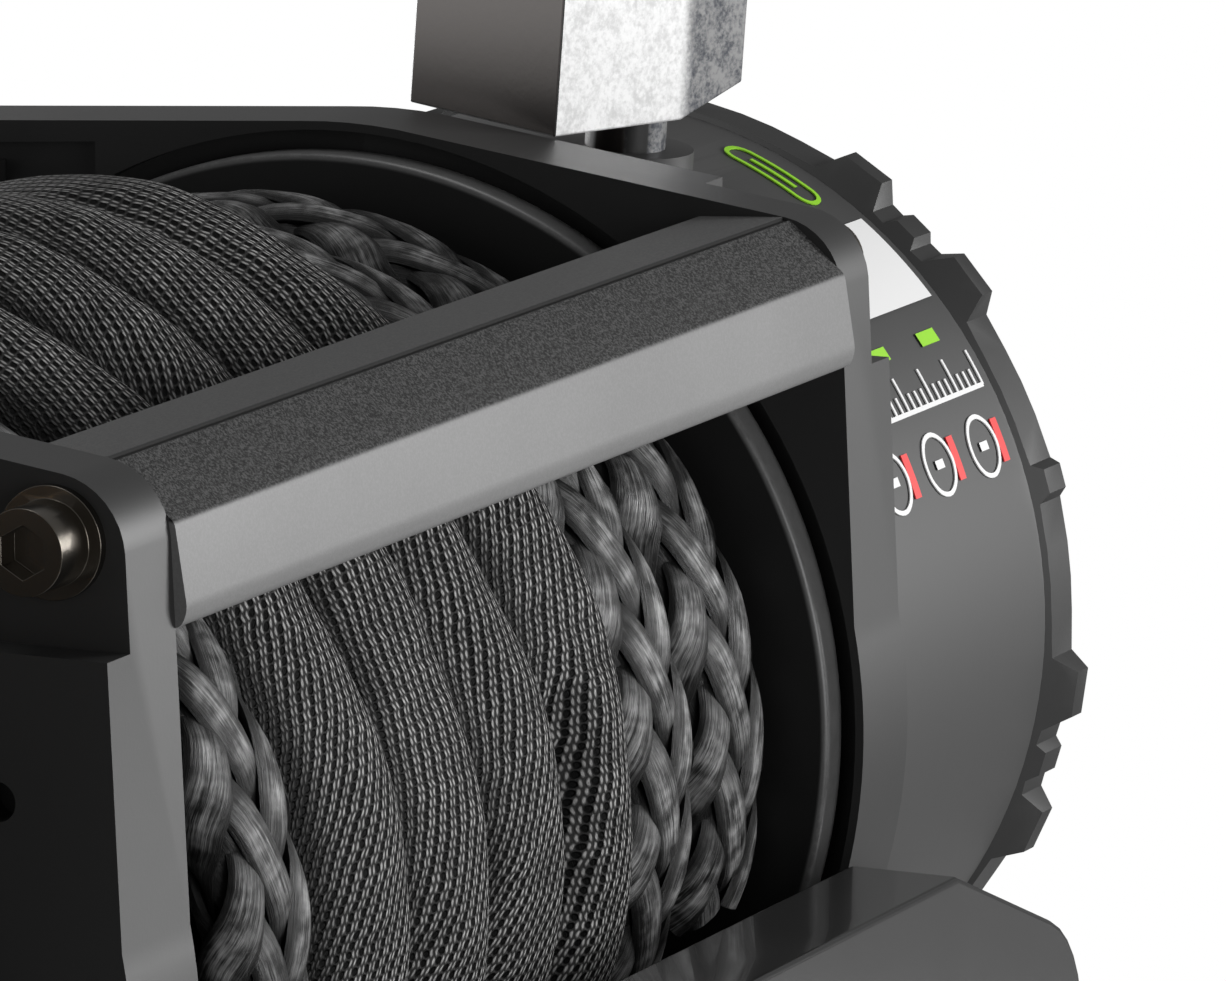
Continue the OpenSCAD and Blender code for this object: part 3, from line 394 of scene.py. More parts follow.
def frontBarPaint(place):
    # By height in the section: satin face, sanded slope and plain top strip, and painted shade, near
    # black, in the groove between slope and strip
    bar = frontBar
    up = place.part("Z")
    front = place.part("Y")
    slope = up.step(*bar["slopeUp"])
    top = front.step(*bar["stripBack"])
    # Painted shade: the groove between slope and strip is painted near black
    groove = front.step(*bar["grooveFront"]) * (1 - front.step(*bar["grooveBack"]))
    groove = groove * up.step(*bar["grooveUp"])
    grain = place.noise(2600.0, 2.0, 0.7)
    coarse = place.noise(1500.0, 1.0)
    cloud = place.noise(26.0, 2.0)
    speck = (grain * 0.7 + coarse * 0.3).step(0.4, 0.64)
    face = (speck * 0.3 + cloud * 0.7).greys(*bar["face"])
    colour = slope.mix(face, speck.greys(*bar["sand"]))
    colour = top.mix(colour, speck.greys(*bar["strip"]))
    colour = groove.mix(colour, grey(bar["groove"]))
    rough = slope * (1 - top)
    return {"Base Color": colour,
            "Roughness": bar["rough"] + rough * bar["sandRougher"] + top * bar["stripRougher"],
            "height": (grain - 0.5) * (bar["grain"] + bar["sandGrain"] * rough)}


section = rounded(frontBar["section"], frontBar["rounds"], frontBar["steps"])
ends = np.array([-frontBar["half"], frontBar["half"]])[:, None]
points = np.stack(np.broadcast_arrays(ends, section[:, 0], section[:, 1] + axisZ), -1)
anodise = material("bar anodise", grey(0.2), 0.5, 0.0, frontBarPaint, Specular_IOR_Level=0.25)
obj = piece("frontTieBar", [grid(points, wrapCols=True)], anodise, frontBar["sharp"], capped=True)
settled(obj, "front_tie_bar")
dressed("rear_tie_bar", finish["casting"], 1.0, 3)
print("tie bars done")

# Drum: a turned profile, with both rims worn bright along their inner edge in a thin ragged line that
# is also a painted highlight, and a band on both rims painted lighter grey as a reflection
drum = {
    "steps": 192, "bore": 31.0, "hub": 42.0, "barrel": 36.0, "flange": 92.0,
    "face": 114.5, "back": 121.0, "hubLeft": -138.5, "hubRight": 136.5,
    "hubRound": 0.8, "backRound": 2.0, "rimRound": 1.3, "faceRound": 3.0, "roundSteps": 5,
    "brightFrom": 1.1, "sideFrom": 1.5,  # mm in from the flange's radius
    "wearAndShineEdge": (0.0006, 0.0001), "wearAndShineRagged": 0.0026,  # metres
    # On the next line the grey of the rims' band is a painted reflection, and the bright of the worn
    # line is also a painted highlight
    "worn": (0.4, 0.52), "inside": 0.003, "rim": 0.2, "bright": 0.12,
}


def drumPaint(place):
    y, z = place.part("Y"), place.part("Z") - axisZ * mm
    radius = (y * y + z * z) ** 0.5
    wear = place.noise(260.0, 5.0, 0.75)
    inner = abs(place.part("X")) - drum["face"] * mm
    # A thin ragged bright line along the inner edge of both rims: wear, and also a painted edge
    # highlight
    near = (inner - (wear - 0.42) * drum["wearAndShineRagged"]).step(*drum["wearAndShineEdge"])
    high = (radius - (drum["flange"] - drum["brightFrom"]) * mm).step(0.0, 0.0003)
    rim = near * high * wear.step(*drum["worn"])
    # A band on both rims, painted lighter grey as a reflection; inside it the drum stays near black
    side = (radius - (drum["flange"] - drum["sideFrom"]) * mm).step(0.0, 0.001)
    base = (side * (0.5 + wear * 0.5)).greys(drum["inside"], drum["rim"])
    return {"Base Color": rim.mix(base, grey(drum["bright"])), "Metallic": rim * 0.3,
            "Roughness": 0.5 - side * 0.12, "height": (wear - 0.5) * 3e-5}


def drumProfile():
    # Each corner as (radius, x, rounding), from the left hub end to the right one
    d = drum
    half = [(d["flange"], d["face"], d["rimRound"]), (d["flange"], d["back"], d["rimRound"]),
            (d["hub"], d["back"], d["backRound"])]
    corners = [(d["bore"], d["hubLeft"], d["hubRound"]), (d["hub"], d["hubLeft"], d["hubRound"])]
    corners += [(radius, -x, curve) for radius, x, curve in reversed(half)]
    corners += [(d["barrel"], -d["face"], d["faceRound"]), (d["barrel"], d["face"], d["faceRound"])]
    corners += half
    corners += [(d["hub"], d["hubRight"], d["hubRound"]), (d["bore"], d["hubRight"], d["hubRound"])]
    corners = np.array(corners)
    return rounded(corners[:, :2], corners[:, 2], d["roundSteps"])


profile = drumProfile()
turn = np.linspace(0, 2 * np.pi, drum["steps"], endpoint=False)
points = aboutAxis(profile[None, :, 1], profile[None, :, 0], turn[:, None])
drumBlack = material("drum paint", grey(0.01), 0.4, paint=drumPaint)
settled(piece("drumDressed", [grid(points, True, True)], drumBlack), "drum")
print("drum done")

# Rope: twelve flat strands, six each way round, over two and under two
lay = {
    "start": 101.5, "turn": 250.0, "pitch": 27.4, "radius": 77.8, "bulgeTurn": 18.0, "bulgePower": 4,
    "ropeBulge": 5.0, "sleeveBulge": 12.2, "sleevePile": 5.0, "gapTurn": 0.22,
    "bareRight": 4 / 3, "sleeved": 4 + 7 / 24, "bareLeft": 7 / 6,  # turns
}
rope = {
    "strands": 12, "amp": 1.2, "thick": 2.7, "width": 8.2, "lay": 126.0, "corner": 0.72,
    "sides": 10, "step": 2.1, "halfWidth": 12.6, "halfHeight": 6.2, "plateau": 1.9,
    "wideShare": 0.93, "thickShare": 0.95, "crownShare": 0.12, "wideCorner": 0.9, "thickCorner": 0.85,
    "drift": (60, 0.008), "lift": (33, 0.18), "breadth": (25, 0.05),  # wave length, strength
    # Last on the next line: the near black of the painted valley shade and the silver of the painted
    # highlight
    "mapShift": 0.37, "mapStretch": 0.1, "sharp": 60.0, "black": 0.005, "silverHighlight": 0.5,
}


def layLine(turns, bulge):
    # The winding's middle line: x falls by one pitch a turn, and the radius swells towards
    # the top by a power of a cosine. Turns are in degrees, 0 at the top.
    t = np.radians(turns)
    high = np.maximum(0, np.cos(t - np.radians(lay["bulgeTurn"]))) ** lay["bulgePower"]
    x = lay["start"] - lay["pitch"] * (turns - lay["turn"]) / 360
    return aboutAxis(x, lay["radius"] + bulge * high, t), outward(t)


def sectionRound(halfWidth, halfHeight, corner, samples=721):
    # A rounded box as a table: share of the way round, then place and outward direction
    t = np.linspace(0, 2 * np.pi, samples)
    w = halfWidth * squared(np.cos(t), corner)
    h = halfHeight * squared(np.sin(t), corner)
    far = lengthAlong(np.stack([w, h], -1))
    flat = unit(np.stack([np.gradient(h), -np.gradient(w)], -1) + 1e-9)
    return far / far[-1], [w, h, flat[:, 0], flat[:, 1]]


def braid(line, out, halfWidth, halfHeight, rng, look, closed=False, pitch=None):
    # A strand's place round the section grows with the length s: q = k/6 +- s/pitch.
    # It lies outside where cos(3 * 2 pi q - pi/4) is positive, inside elsewhere.
    def swing(key):
        return 0 if closed else wander(s, rng, *look[key])

    s = lengthAlong(line)
    along = ahead(line, closed)
    out = squareTo(along, out)
    side = np.cross(out, along)
    inset = look["amp"] + look["thick"] / 2
    far, table = sectionRound(halfWidth - inset, halfHeight - inset, look["corner"])
    ring = np.linspace(0, 2 * np.pi, look["sides"], endpoint=False)
    turnShare = np.arange(look["sides"] + 1)[None, :] / look["sides"]
    surfaces = []
    for k in range(look["strands"]):
        way = 1 if k % 2 else -1
        q = (k // 2) / 6 + way * s / (pitch or look["lay"]) + swing("drift")
        wave = way * np.cos(6 * np.pi * q - np.pi / 4)
        lift = look["amp"] * np.tanh(look["plateau"] * wave) / np.tanh(look["plateau"]) + swing("lift")
        cw, ch, nw, nh = (np.interp(q % 1, far, column) for column in table)
        norm = np.hypot(nw, nh)
        nw, nh = nw / norm, nh / norm
        mid = line + side * (cw + nw * lift)[:, None] + out * (ch + nh * lift)[:, None]
        strandAlong = ahead(mid, closed)
        up = squareTo(strandAlong, side * nw[:, None] + out * nh[:, None])
        across = np.cross(strandAlong, up)
        crown = look["crownShare"] * wave
        wide = look["width"] / 2 * (look["wideShare"] + crown + swing("breadth"))
        thick = look["thick"] / 2 * (look["thickShare"] + crown)
        a = wide[:, None] * squared(np.cos(ring), look["wideCorner"])[None, :]
        b = thick[:, None] * squared(np.sin(ring), look["thickCorner"])[None, :]
        skin = mid[:, None] + across[:, None] * a[..., None] + up[:, None] * b[..., None]
        spot = np.stack(np.broadcast_arrays(
            turnShare + k * look["mapShift"], s[:, None] * look["mapStretch"],
            0.5 + 0.5 * wave[:, None], 0.5 + 0.5 * np.sin(2 * np.pi * turnShare)), -1)
        if closed:
            surfaces.append(grid(skin, True, True, np.concatenate([spot, spot[-1:]])))
        else:
            surfaces.append(tube(skin, spot))
    return surfaces


def fibrePaint(place):
    # Long fine streaks along each strand, with a painted highlight, silvery, on its crown and painted
    # shade, near black, in the valleys and on its sides.
    # The crest map holds how far out the strand lies and which side of it faces out.
    crest = place.vector("UVMap", uv_map="crest")
    streak = place.scaled(9, 0.25, 1).noise(5.0, 4.0, 0.65)
    fine = place.scaled(34, 0.5, 1).noise(4.0, 3.0, 0.75)
    mottle = place.scaled(2, 1.4, 1).noise(2.0, 2.0)
    # Painted highlight where the strand lies out and its face turns outward; elsewhere the streaks sink
    # to painted shade
    crown = crest.part("X").step(0.4, 1.0) * crest.part("Y").step(0.66, 1.0) ** 1.4
    streaksAndHighlight = (streak * 0.5 + fine * 0.3 + mottle * 0.4).step(0.5, 0.82) * (0.03 + crown * 0.97)
    return {"Base Color": streaksAndHighlight.greys(rope["black"], rope["silverHighlight"]), "Roughness": 0.42 - streaksAndHighlight * 0.14,
            "height": fine * 1.6e-4 + streak * 3e-4}


fibre = material("rope fibre", grey(0.1), 0.45, 0.0, fibrePaint, uv="lay", Specular_IOR_Level=0.25)
sleeveTurn = lay["turn"] + 360 * lay["bareRight"] + lay["gapTurn"]  # where the sleeve begins
leftTurn = sleeveTurn + 360 * lay["sleeved"] + lay["gapTurn"]  # and where the left turns begin
runs = {
    "ropeTurnsRight": ("rope_turns_right", lay["turn"], sleeveTurn - lay["gapTurn"], 3),
    "ropeTurnsLeft": ("rope_turns_left", leftTurn, leftTurn + 360 * lay["bareLeft"], 5),
}
for name, (cadNode, first, last, seed) in runs.items():
    n = int((last - first) / 360 * 2 * np.pi * lay["radius"] / rope["step"])
    line, out = layLine(np.linspace(first, last, n), lay["ropeBulge"])
    rng = np.random.default_rng(seed)
    surfaces = braid(line, out, rope["halfWidth"], rope["halfHeight"], rng, rope)
    settled(piece(name, surfaces, fibre, rope["sharp"]), cadNode)
print("bare turns done")

# The layer below: a ribbed skin with a braided turn at each end. The skin has no crest map, so the rope
# fibre paint lays its painted valley shade over all of it and it is near black
under = {
    "rows": 240, "cols": 170, "edge": 114.1, "groove": 64.5, "rib": 4.6,
    "core": 36.0, "endCols": 26, "endRadius": 62.0,
    "ringMiddle": 101.2, "ringRadius": 64.0, "ringPoints": 210, "ringPitches": 5,
    "halfWidth": 12.6, "halfHeight": 6.1,
}


def underSkin():
    # Ribs one pitch apart, as the root of a cosine along X that leans by half a rib a turn,
    # with a lower seat for the braided turn at each end
    turn = np.linspace(0, 2 * np.pi, under["rows"], endpoint=False)[:, None]
    x = np.linspace(-under["edge"], under["edge"], under["cols"])[None, :]
    rib = np.abs(np.cos(np.pi * (x - under["ringMiddle"]) / lay["pitch"] - turn * 0.5)) ** 0.5
    radius = under["groove"] + under["rib"] * rib
    for seat in (slice(None, under["endCols"]), slice(-under["endCols"], None)):
        radius[:, seat] = np.minimum(radius[:, seat], under["endRadius"])
    radius[:, [0, -1]] = under["core"]
    return grid(aboutAxis(x, radius, turn), wrapRows=True)


surfaces = [underSkin()]
turns = np.linspace(0, 2 * np.pi, under["ringPoints"], endpoint=False)
for seed, middle in enumerate([-under["ringMiddle"], under["ringMiddle"]]):
    surfaces += braid(aboutAxis(middle, under["ringRadius"], turns), outward(turns), under["halfWidth"],
                      under["halfHeight"], np.random.default_rng(seed), rope, True,
                      2 * np.pi * under["ringRadius"] / under["ringPitches"])
settled(piece("ropeUnderLayer", surfaces, fibre, rope["sharp"]), "rope_core")
print("under layer done")

# Sleeve: a flat woven tube whose right side stands up over the next turn
sleeve = {
    "rows": 1000, "cols": 92, "samples": 1441, "halfWidth": 14.1, "halfHeight": 6.4,
    "cells": 28, "cell": 1.4, "seed": 11, "flatten": 0.85, "tilt": 4.6, "taper": 22.0, "sharp": 75.0,
    "waves": 2, "waveWidth": 5.0, "waveDepth": 1.0, "waveApart": 13, "outerPower": 0.55,
    "pinches": 8, "pinchLength": 15.0, "pinchShift": 40, "pinchNarrow": 1.3, "pinchDip": 1.5,
    "pinchSpan": (0.04, 0.96), "pinchShare": -0.2, "pinchShareWidth": 0.45,
    "hollowTurn": 990.0, "hollowLength": 15.0, "hollowDepth": 8.5,
    "hollowShare": -0.62, "hollowShareWidth": 0.5, "pressed": 97.0, "pressedShare": 0.5,
    # Random sways: wave length in mm, and strength
    "breadthSway": (70, 0.4), "tiltSway": (50, 0.5), "waveSway": (85, 3.5), "depthSway": (60, 0.6),
    "ripple": (19, 0.16), "rippleTurns": 4.1, "drift": (55, 0.7), "lean": (160, 2.0),
}


def bell(value, width):
    # 1 at 0, falling smoothly to nothing a few widths away
    return np.exp(-(value / width) ** 2)


def ovalTurns():
    # Turns round the sleeve's section, an even way apart along its outline
    fine = np.linspace(0, 2 * np.pi, sleeve["samples"])
    w = np.cos(fine) * sleeve["halfWidth"]
    h = squared(np.sin(fine), sleeve["flatten"]) * sleeve["halfHeight"]
    far = lengthAlong(np.stack([w, h], -1))
    return np.interp(np.linspace(0, far[-1], sleeve["cols"], endpoint=False), far, fine)


def sleeveSkin():
    # w across and h outward round a flat oval with corners at even steps. Soft waves
    # drift along the length s, the tube is narrower where it is pinched, and the left
    # side of the first turn sinks into one deep hollow.
    rng = np.random.default_rng(sleeve["seed"])
    turns = np.linspace(sleeveTurn, leftTurn - lay["gapTurn"], sleeve["rows"])
    progress = np.linspace(0, 1, sleeve["rows"])
    s = progress * 2 * np.pi * lay["radius"] * (turns[-1] - turns[0]) / 360
    mouth = 1 - np.exp(-np.minimum(s, s[-1] - s) / sleeve["taper"])
    bulge = lay["sleeveBulge"] + lay["sleevePile"] * np.sin(np.pi * progress)
    line, out = layLine(turns, lay["ropeBulge"] + (bulge - lay["ropeBulge"]) * mouth)
    side = np.cross(ahead(line), out)
    t = ovalTurns()
    pinch = 0 * s
    shifts = rng.uniform(-sleeve["pinchShift"], sleeve["pinchShift"], sleeve["pinches"])
    for middle in np.linspace(*sleeve["pinchSpan"], sleeve["pinches"]) * s[-1] + shifts:
        pinch = pinch + bell(s - middle, sleeve["pinchLength"])
    wide = sleeve["halfWidth"] + wander(s, rng, *sleeve["breadthSway"]) - sleeve["pinchNarrow"] * pinch
    w = wide[:, None] * np.cos(t)[None, :]
    h = sleeve["halfHeight"] * squared(np.sin(t), sleeve["flatten"])[None, :] * np.ones_like(w)
    share = w / wide[:, None]
    outer = np.clip(np.sin(t), 0, 1)[None, :] ** sleeve["outerPower"]
    h = h + outer * (sleeve["tilt"] + wander(s, rng, *sleeve["tiltSway"]))[:, None] * share
    dip = bell(share - sleeve["pinchShare"], sleeve["pinchShareWidth"])
    h = h - outer * sleeve["pinchDip"] * pinch[:, None] * dip
    for k in range(sleeve["waves"]):
        middle = (k - 0.5) * sleeve["waveApart"] + wander(s, rng, *sleeve["waveSway"])
        depth = sleeve["waveDepth"] * (0.6 + wander(s, rng, *sleeve["depthSway"]) + 0.6 * pinch)
        h = h - outer * depth[:, None] * bell(w - middle[:, None], sleeve["waveWidth"])
    ripple = np.cos(sleeve["rippleTurns"] * share + 1)
    h = h + outer * wander(s, rng, *sleeve["ripple"])[:, None] * ripple
    hollow = sleeve["hollowDepth"] * bell(turns - sleeve["hollowTurn"], sleeve["hollowLength"])
    h = h - outer * hollow[:, None] * bell(share - sleeve["hollowShare"], sleeve["hollowShareWidth"])
    drift = wander(s, rng, *sleeve["drift"])
    skin = line[:, None] + side[:, None] * (w + drift[:, None])[..., None] + out[:, None] * h[..., None]
    # Above this radius the pile is pressed flatter, so that it clears the tray as it turns
    far = np.hypot(skin[..., 1], skin[..., 2] - axisZ)
    over = np.maximum(far - sleeve["pressed"], 0)
    flatter = (far - over * sleeve["pressedShare"]) / far
    skin[..., 1] = skin[..., 1] * flatter
    skin[..., 2] = axisZ + (skin[..., 2] - axisZ) * flatter
    # Texture: cells round and along the tube, then how far right a corner lies, which the weave uses
    # for painted shade on each band's left side
    lean = wander(s, rng, *sleeve["lean"])
    cells = np.arange(sleeve["cols"] + 1) / sleeve["cols"] * sleeve["cells"]
    sideShare = np.cos(np.concatenate([t, t[:1]]))[None, :] * 0.5 + 0.5
    uv = np.stack(np.broadcast_arrays(
        cells[None, :] + lean[:, None], s[:, None] / sleeve["cell"], sideShare, 0.0), -1)
    return tube(skin, uv)


weave = {
    "rowShift": 0.25, "slant": 0.1, "holeWide": 3.9, "holeTall": 2.1, "holeEdge": (0.6, 1.05),
    "strandAt": 0.33, "strandWide": 8.0, "strandTall": 1.9, "strandEdge": (0.35, 1.1),
    # On the next line: the painted shade over each band's left side and its crease, the near black, and
    # the pale of the strands' painted sheen
    "creaseShade": (0.12, 0.42), "creaseShadeTone": 0.1, "black": 0.0015, "pale": 0.62,
    "strandHeight": 3.4e-4, "holeDepth": 5e-4, "yarnHeight": 4e-5,  # metres
}


def weavePaint(place):
    # Each cell has a dark hole in its middle and a lengthwise strand at either side,
    # and each row is a quarter of a cell further on than the one before
    def spot(across, along, wide, tall, edge):
        # 1 in the middle of an oval, 0 outside it
        return 1 - (((across * wide) ** 2 + (along * tall) ** 2) ** 0.5).step(*edge)

    u, v = place.part("X"), place.part("Y")
    u = u + (place.noise(0.3, 2.0) - 0.5) * 0.7
    v = v + (place.noise(0.25, 2.0) - 0.5) * 0.6 + u * weave["slant"]
    row = v.floor()
    dv = v - row - 0.5
    cell = u + row * weave["rowShift"] + dv * 0.12
    du = cell - cell.floor() - 0.5
    hole = spot(du, dv, weave["holeWide"], weave["holeTall"], weave["holeEdge"])
    strand = spot(abs(du) - weave["strandAt"], dv, weave["strandWide"], weave["strandTall"],
                  weave["strandEdge"])
    yarn = place.scaled(14, 0.7, 1).noise(1.0, 3.0, 0.75).step(0.3, 0.7)
    worn = place.noise(0.3, 3.0).step(0.25, 0.75)
    # Painted shade: each band darkens over its left part and into its crease, to a tenth at the edge
    creaseShade = place.vector("UVMap", uv_map="crest").part("X").step(*weave["creaseShade"])
    tone = weave["creaseShadeTone"]
    # The strands keep the weave's pattern, and their pale colour is a painted sheen on near-black yarn
    lightness = (0.08 + strand * (0.5 + yarn * 0.42)) * (1 - hole)
    lightness = lightness * (0.55 + worn * 0.45) * (tone + creaseShade * (1 - tone))
    relief = strand * weave["strandHeight"] - hole * weave["holeDepth"] + yarn * weave["yarnHeight"]
    return {"Base Color": lightness.mix(grey(weave["black"]), grey(weave["pale"], 0.01)),
            "Roughness": 0.62 - strand * 0.15, "height": relief}


webbing = material("sleeve webbing", grey(0.03), 0.7, 0.0, weavePaint, uv="lay",
                   Specular_IOR_Level=0.08)
settled(piece("sleeveTurns", [sleeveSkin()], webbing, sleeve["sharp"]), "sleeve_turns")
print("sleeve done")

# Free end: leaves the pack underneath and runs straight to its thimble
lead = {
    "x": -85.0, "startX": -84.65, "radius": 6.2, "from": 176.0, "to": 190.0, "arcPoints": 12,
    "stopY": -130.0, "stopBelowAxis": 55.04, "runPoints": 60, "out": [0.0, 0.17, 0.985], "seed": 8,
}
leadLook = dict(rope, amp=0.62, thick=1.9, width=3.9, lay=52.0, corner=1.0, sides=8)
bend = np.radians(np.linspace(lead["from"], lead["to"], lead["arcPoints"]))
start = aboutAxis(np.linspace(lead["startX"], lead["x"], lead["arcPoints"]), lay["radius"], bend)
stop = np.array([lead["x"], lead["stopY"], axisZ - lead["stopBelowAxis"]])
straight = start[-1] + np.linspace(0, 1, lead["runPoints"])[1:, None] * (stop - start[-1])
leadLine = np.concatenate([start, straight])
leadOut = np.tile(lead["out"], (len(leadLine), 1))
leadStrands = braid(leadLine, leadOut, lead["radius"], lead["radius"],
                    np.random.default_rng(lead["seed"]), leadLook)
leadObject = settled(piece("ropeLead", leadStrands, fibre, rope["sharp"]), "rope_lead")
thimble = dressed("rope_thimble", finish["stainless"], 0.8)
print("free end done")

# Fairlead: polished black with a satin front, painted a lighter grey that is partly a painted
# reflection, and a bright edge; places in metres
fairlead = {
    "satinFront": (-0.1265, -0.1255), "brightFront": (-0.1262, -0.1252), "brightUp": (0.068, 0.072),
    # The satin grey on the next line is partly the finish and partly a painted reflection
    "black": 0.045, "satin": 0.17, "edge": (0.012, 0.5),
}


def fairleadBlack(place):
    # The front is painted a lighter satin grey, partly its satin finish and partly a painted reflection
    front = 1 - place.part("Y").step(*fairlead["satinFront"])
    grain = place.noise(1400.0, 2.0)
    cloud = place.noise(60.0, 2.0)
    return {"Base Color": front.greys(fairlead["black"], fairlead["satin"]),
            "Roughness": 0.2 + front * 0.2 + cloud * 0.06, "height": (grain - 0.5) * 1.2e-5}


def fairleadEdge(place):
    # Machined bright along the top of the front, black elsewhere
    front = 1 - place.part("Y").step(*fairlead["brightFront"])
    top = place.part("Z").step(*fairlead["brightUp"])
    scratch = place.scaled(1, 30, 30).noise(90.0, 3.0)
    bright = front * top * (0.6 + scratch * 0.4)
    return {"Base Color": bright.greys(*fairlead["edge"]), "Metallic": bright * 0.9}


polished = material("fairlead black", grey(0.012), 0.2, 0.0, fairleadBlack, Coat_Weight=0.3)
brightEdge = material("bright edge", grey(0.3), 0.25, 0.5, fairleadEdge)
dressed("hawse_fairlead", polished, 0.9, 2, brightEdge)
print("fairlead done")

# Gear housing, end cover and the plain marks printed on the housing: places are x in mm
# and an angle round the housing, 0 underneath, 180 on top and 270 at the front
dressAll([
    ("gear_housing", "gearbox", 0.4, "gearbox_coat", 2),
    ("gear_end_cover", "cover", 0.9, "gearbox_coat", 3),
    ("cover_screws", "plated", 0.4, "plated_steel", 2),
])
marks = {"radius": 87.22, "lift": 0.12, "line": 0.85, "sharp": 40.0}
slotMark = {
    "x": (204.6, 211.0), "angle": (200.4, 212.8), "corner": 2.6, "cornerSteps": 4, "line": 0.9,
    "barX": 207.8, "bar": (203.4, 209.8), "barLine": 1.0,
}
plateMark = {"x": (178.0, 215.2), "angle": (217.0, 229.2), "cols": 14, "rows": 8}
scaleMark = {
    "x": (152.0, 214.4), "base": 241.0, "ticks": 25, "short": 2.2, "tall": 4.4, "tallEvery": 4,
    "tickLine": 0.7,
}
barMarks = {"x": (162.4, 183.2, 204.0), "half": 3.6, "angle": 233.6, "line": 2.6}
ringMarks = {
    "x": (167.0, 186.0, 205.0), "angle": 247.6, "radius": 5.4, "radiusAngle": 3.55, "points": 24,
    "dot": 1.6, "barX": 7.0, "bar": (245.0, 250.2), "barLine": 2.4,
}
perDegree = marks["radius"] * np.pi / 180
inks = {
    "green": material("green ink", (0.27, 0.62, 0.02, 1), 0.5),
    "white": material("white ink", grey(0.72), 0.5),
    "red": material("red ink", (0.75, 0.03, 0.03, 1), 0.5),
}


def onHousing(x, angle, lift):
    return aboutAxis(x, marks["radius"] + lift, np.radians(180 - angle))


def stroke(path, width, closed=False):
    # A thin ribbon on the housing along (x, angle) points, width in mm, with a corner at
    # about every millimetre
    path = np.array(path, float)
    if closed:
        path = np.concatenate([path, path[:1]])
    flat = path * [1, perDegree]
    s = lengthAlong(flat)
    even = np.linspace(0, s[-1], max(3, int(s[-1])))
    flat = np.stack([np.interp(even, s, flat[:, 0]), np.interp(even, s, flat[:, 1])], -1)
    along = ahead(flat)
    if closed:
        along = ahead(flat[:-1], True)
        along = np.concatenate([along, along[:1]])
    across = np.stack([-along[:, 1], along[:, 0]], -1) * width / 2
    rows = []
    for way, lift in [(1, -1), (1, 1), (-1, 1), (-1, -1)]:
        edge = flat + way * across
        rows.append(onHousing(edge[:, 0], edge[:, 1] / perDegree, lift * marks["lift"]))
    return grid(np.stack(rows, 1))


def slotStrokes(m):
    # A rounded slot with a bar in its middle
    low, high = zip(m["x"], m["angle"])
    outline = roundedBox(low, high, (m["corner"], m["corner"] / perDegree), m["cornerSteps"])
    bar = [(m["barX"], angle) for angle in m["bar"]]
    return [stroke(outline, m["line"], True), stroke(bar, m["barLine"])]


def plateSheet(m):
    # A bare sheet: x in even steps against the angle in even steps
    x = np.linspace(*m["x"], m["rows"])
    angle = np.linspace(*m["angle"], m["cols"])
    return grid(onHousing(x[:, None], angle[None, :], marks["lift"]))


def scaleStrokes(m):
    # A base line with a tick at each even step, every fourth one taller
    out = [stroke([(x, m["base"]) for x in m["x"]], marks["line"])]
    for k, x in enumerate(np.linspace(*m["x"], m["ticks"])):
        rise = m["short"] if k % m["tallEvery"] else m["tall"]
        out.append(stroke([(x, m["base"]), (x, m["base"] - rise)], m["tickLine"]))
    return out


def ringStrokes(m):
    # A ring with its dot at each place
    out = []
    t = np.linspace(0, 2 * np.pi, m["points"])[:-1]
    for x in m["x"]:
        ring = np.stack([x + m["radius"] * np.cos(t), m["angle"] + m["radiusAngle"] * np.sin(t)], -1)
        out.append(stroke(ring, marks["line"], True))
        out.append(stroke([(x - m["dot"], m["angle"]), (x + m["dot"], m["angle"])], m["dot"]))
    return out


green = slotStrokes(slotMark)
for x in barMarks["x"]:
    bar = [(x + way * barMarks["half"], barMarks["angle"]) for way in (-1, 1)]
    green.append(stroke(bar, barMarks["line"]))
white = [plateSheet(plateMark)] + scaleStrokes(scaleMark) + ringStrokes(ringMarks)
red = []
for x in ringMarks["x"]:
    bar = [(x + ringMarks["barX"], angle) for angle in ringMarks["bar"]]
    red.append(stroke(bar, ringMarks["barLine"]))
for name, parts in (("green", green), ("white", white), ("red", red)):
    obj = piece("housingMarks" + name.title(), parts, inks[name], marks["sharp"])
    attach(obj, nodes["gear_housing"]["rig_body"])
print("gearbox done")

# Clutch lever and its pin
leverLow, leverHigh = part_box("clutch_lever")
lever = {
    # Some of the next values paint light: a reflection on the end face, dark at its foot and light at
    # its top, a dark reflection on the corner and a highlight on the far edge
    "darkShare": 0.56, "darkBlur": 0.0015, "ragged": 0.006, "reflectionUp": 0.004, "reflectionDown": 0.006,
    "pale": (0.48, 0.68), "dark": (0.02, 0.024, 0.035, 1), "darkGrey": 0.2,
    "reflectionLow": (0.09, 0.08, 0.075, 1), "reflectionHigh": (0.66, 0.62, 0.6, 1),
    "corner": 0.02, "farEdgeHighlight": 0.95,
}


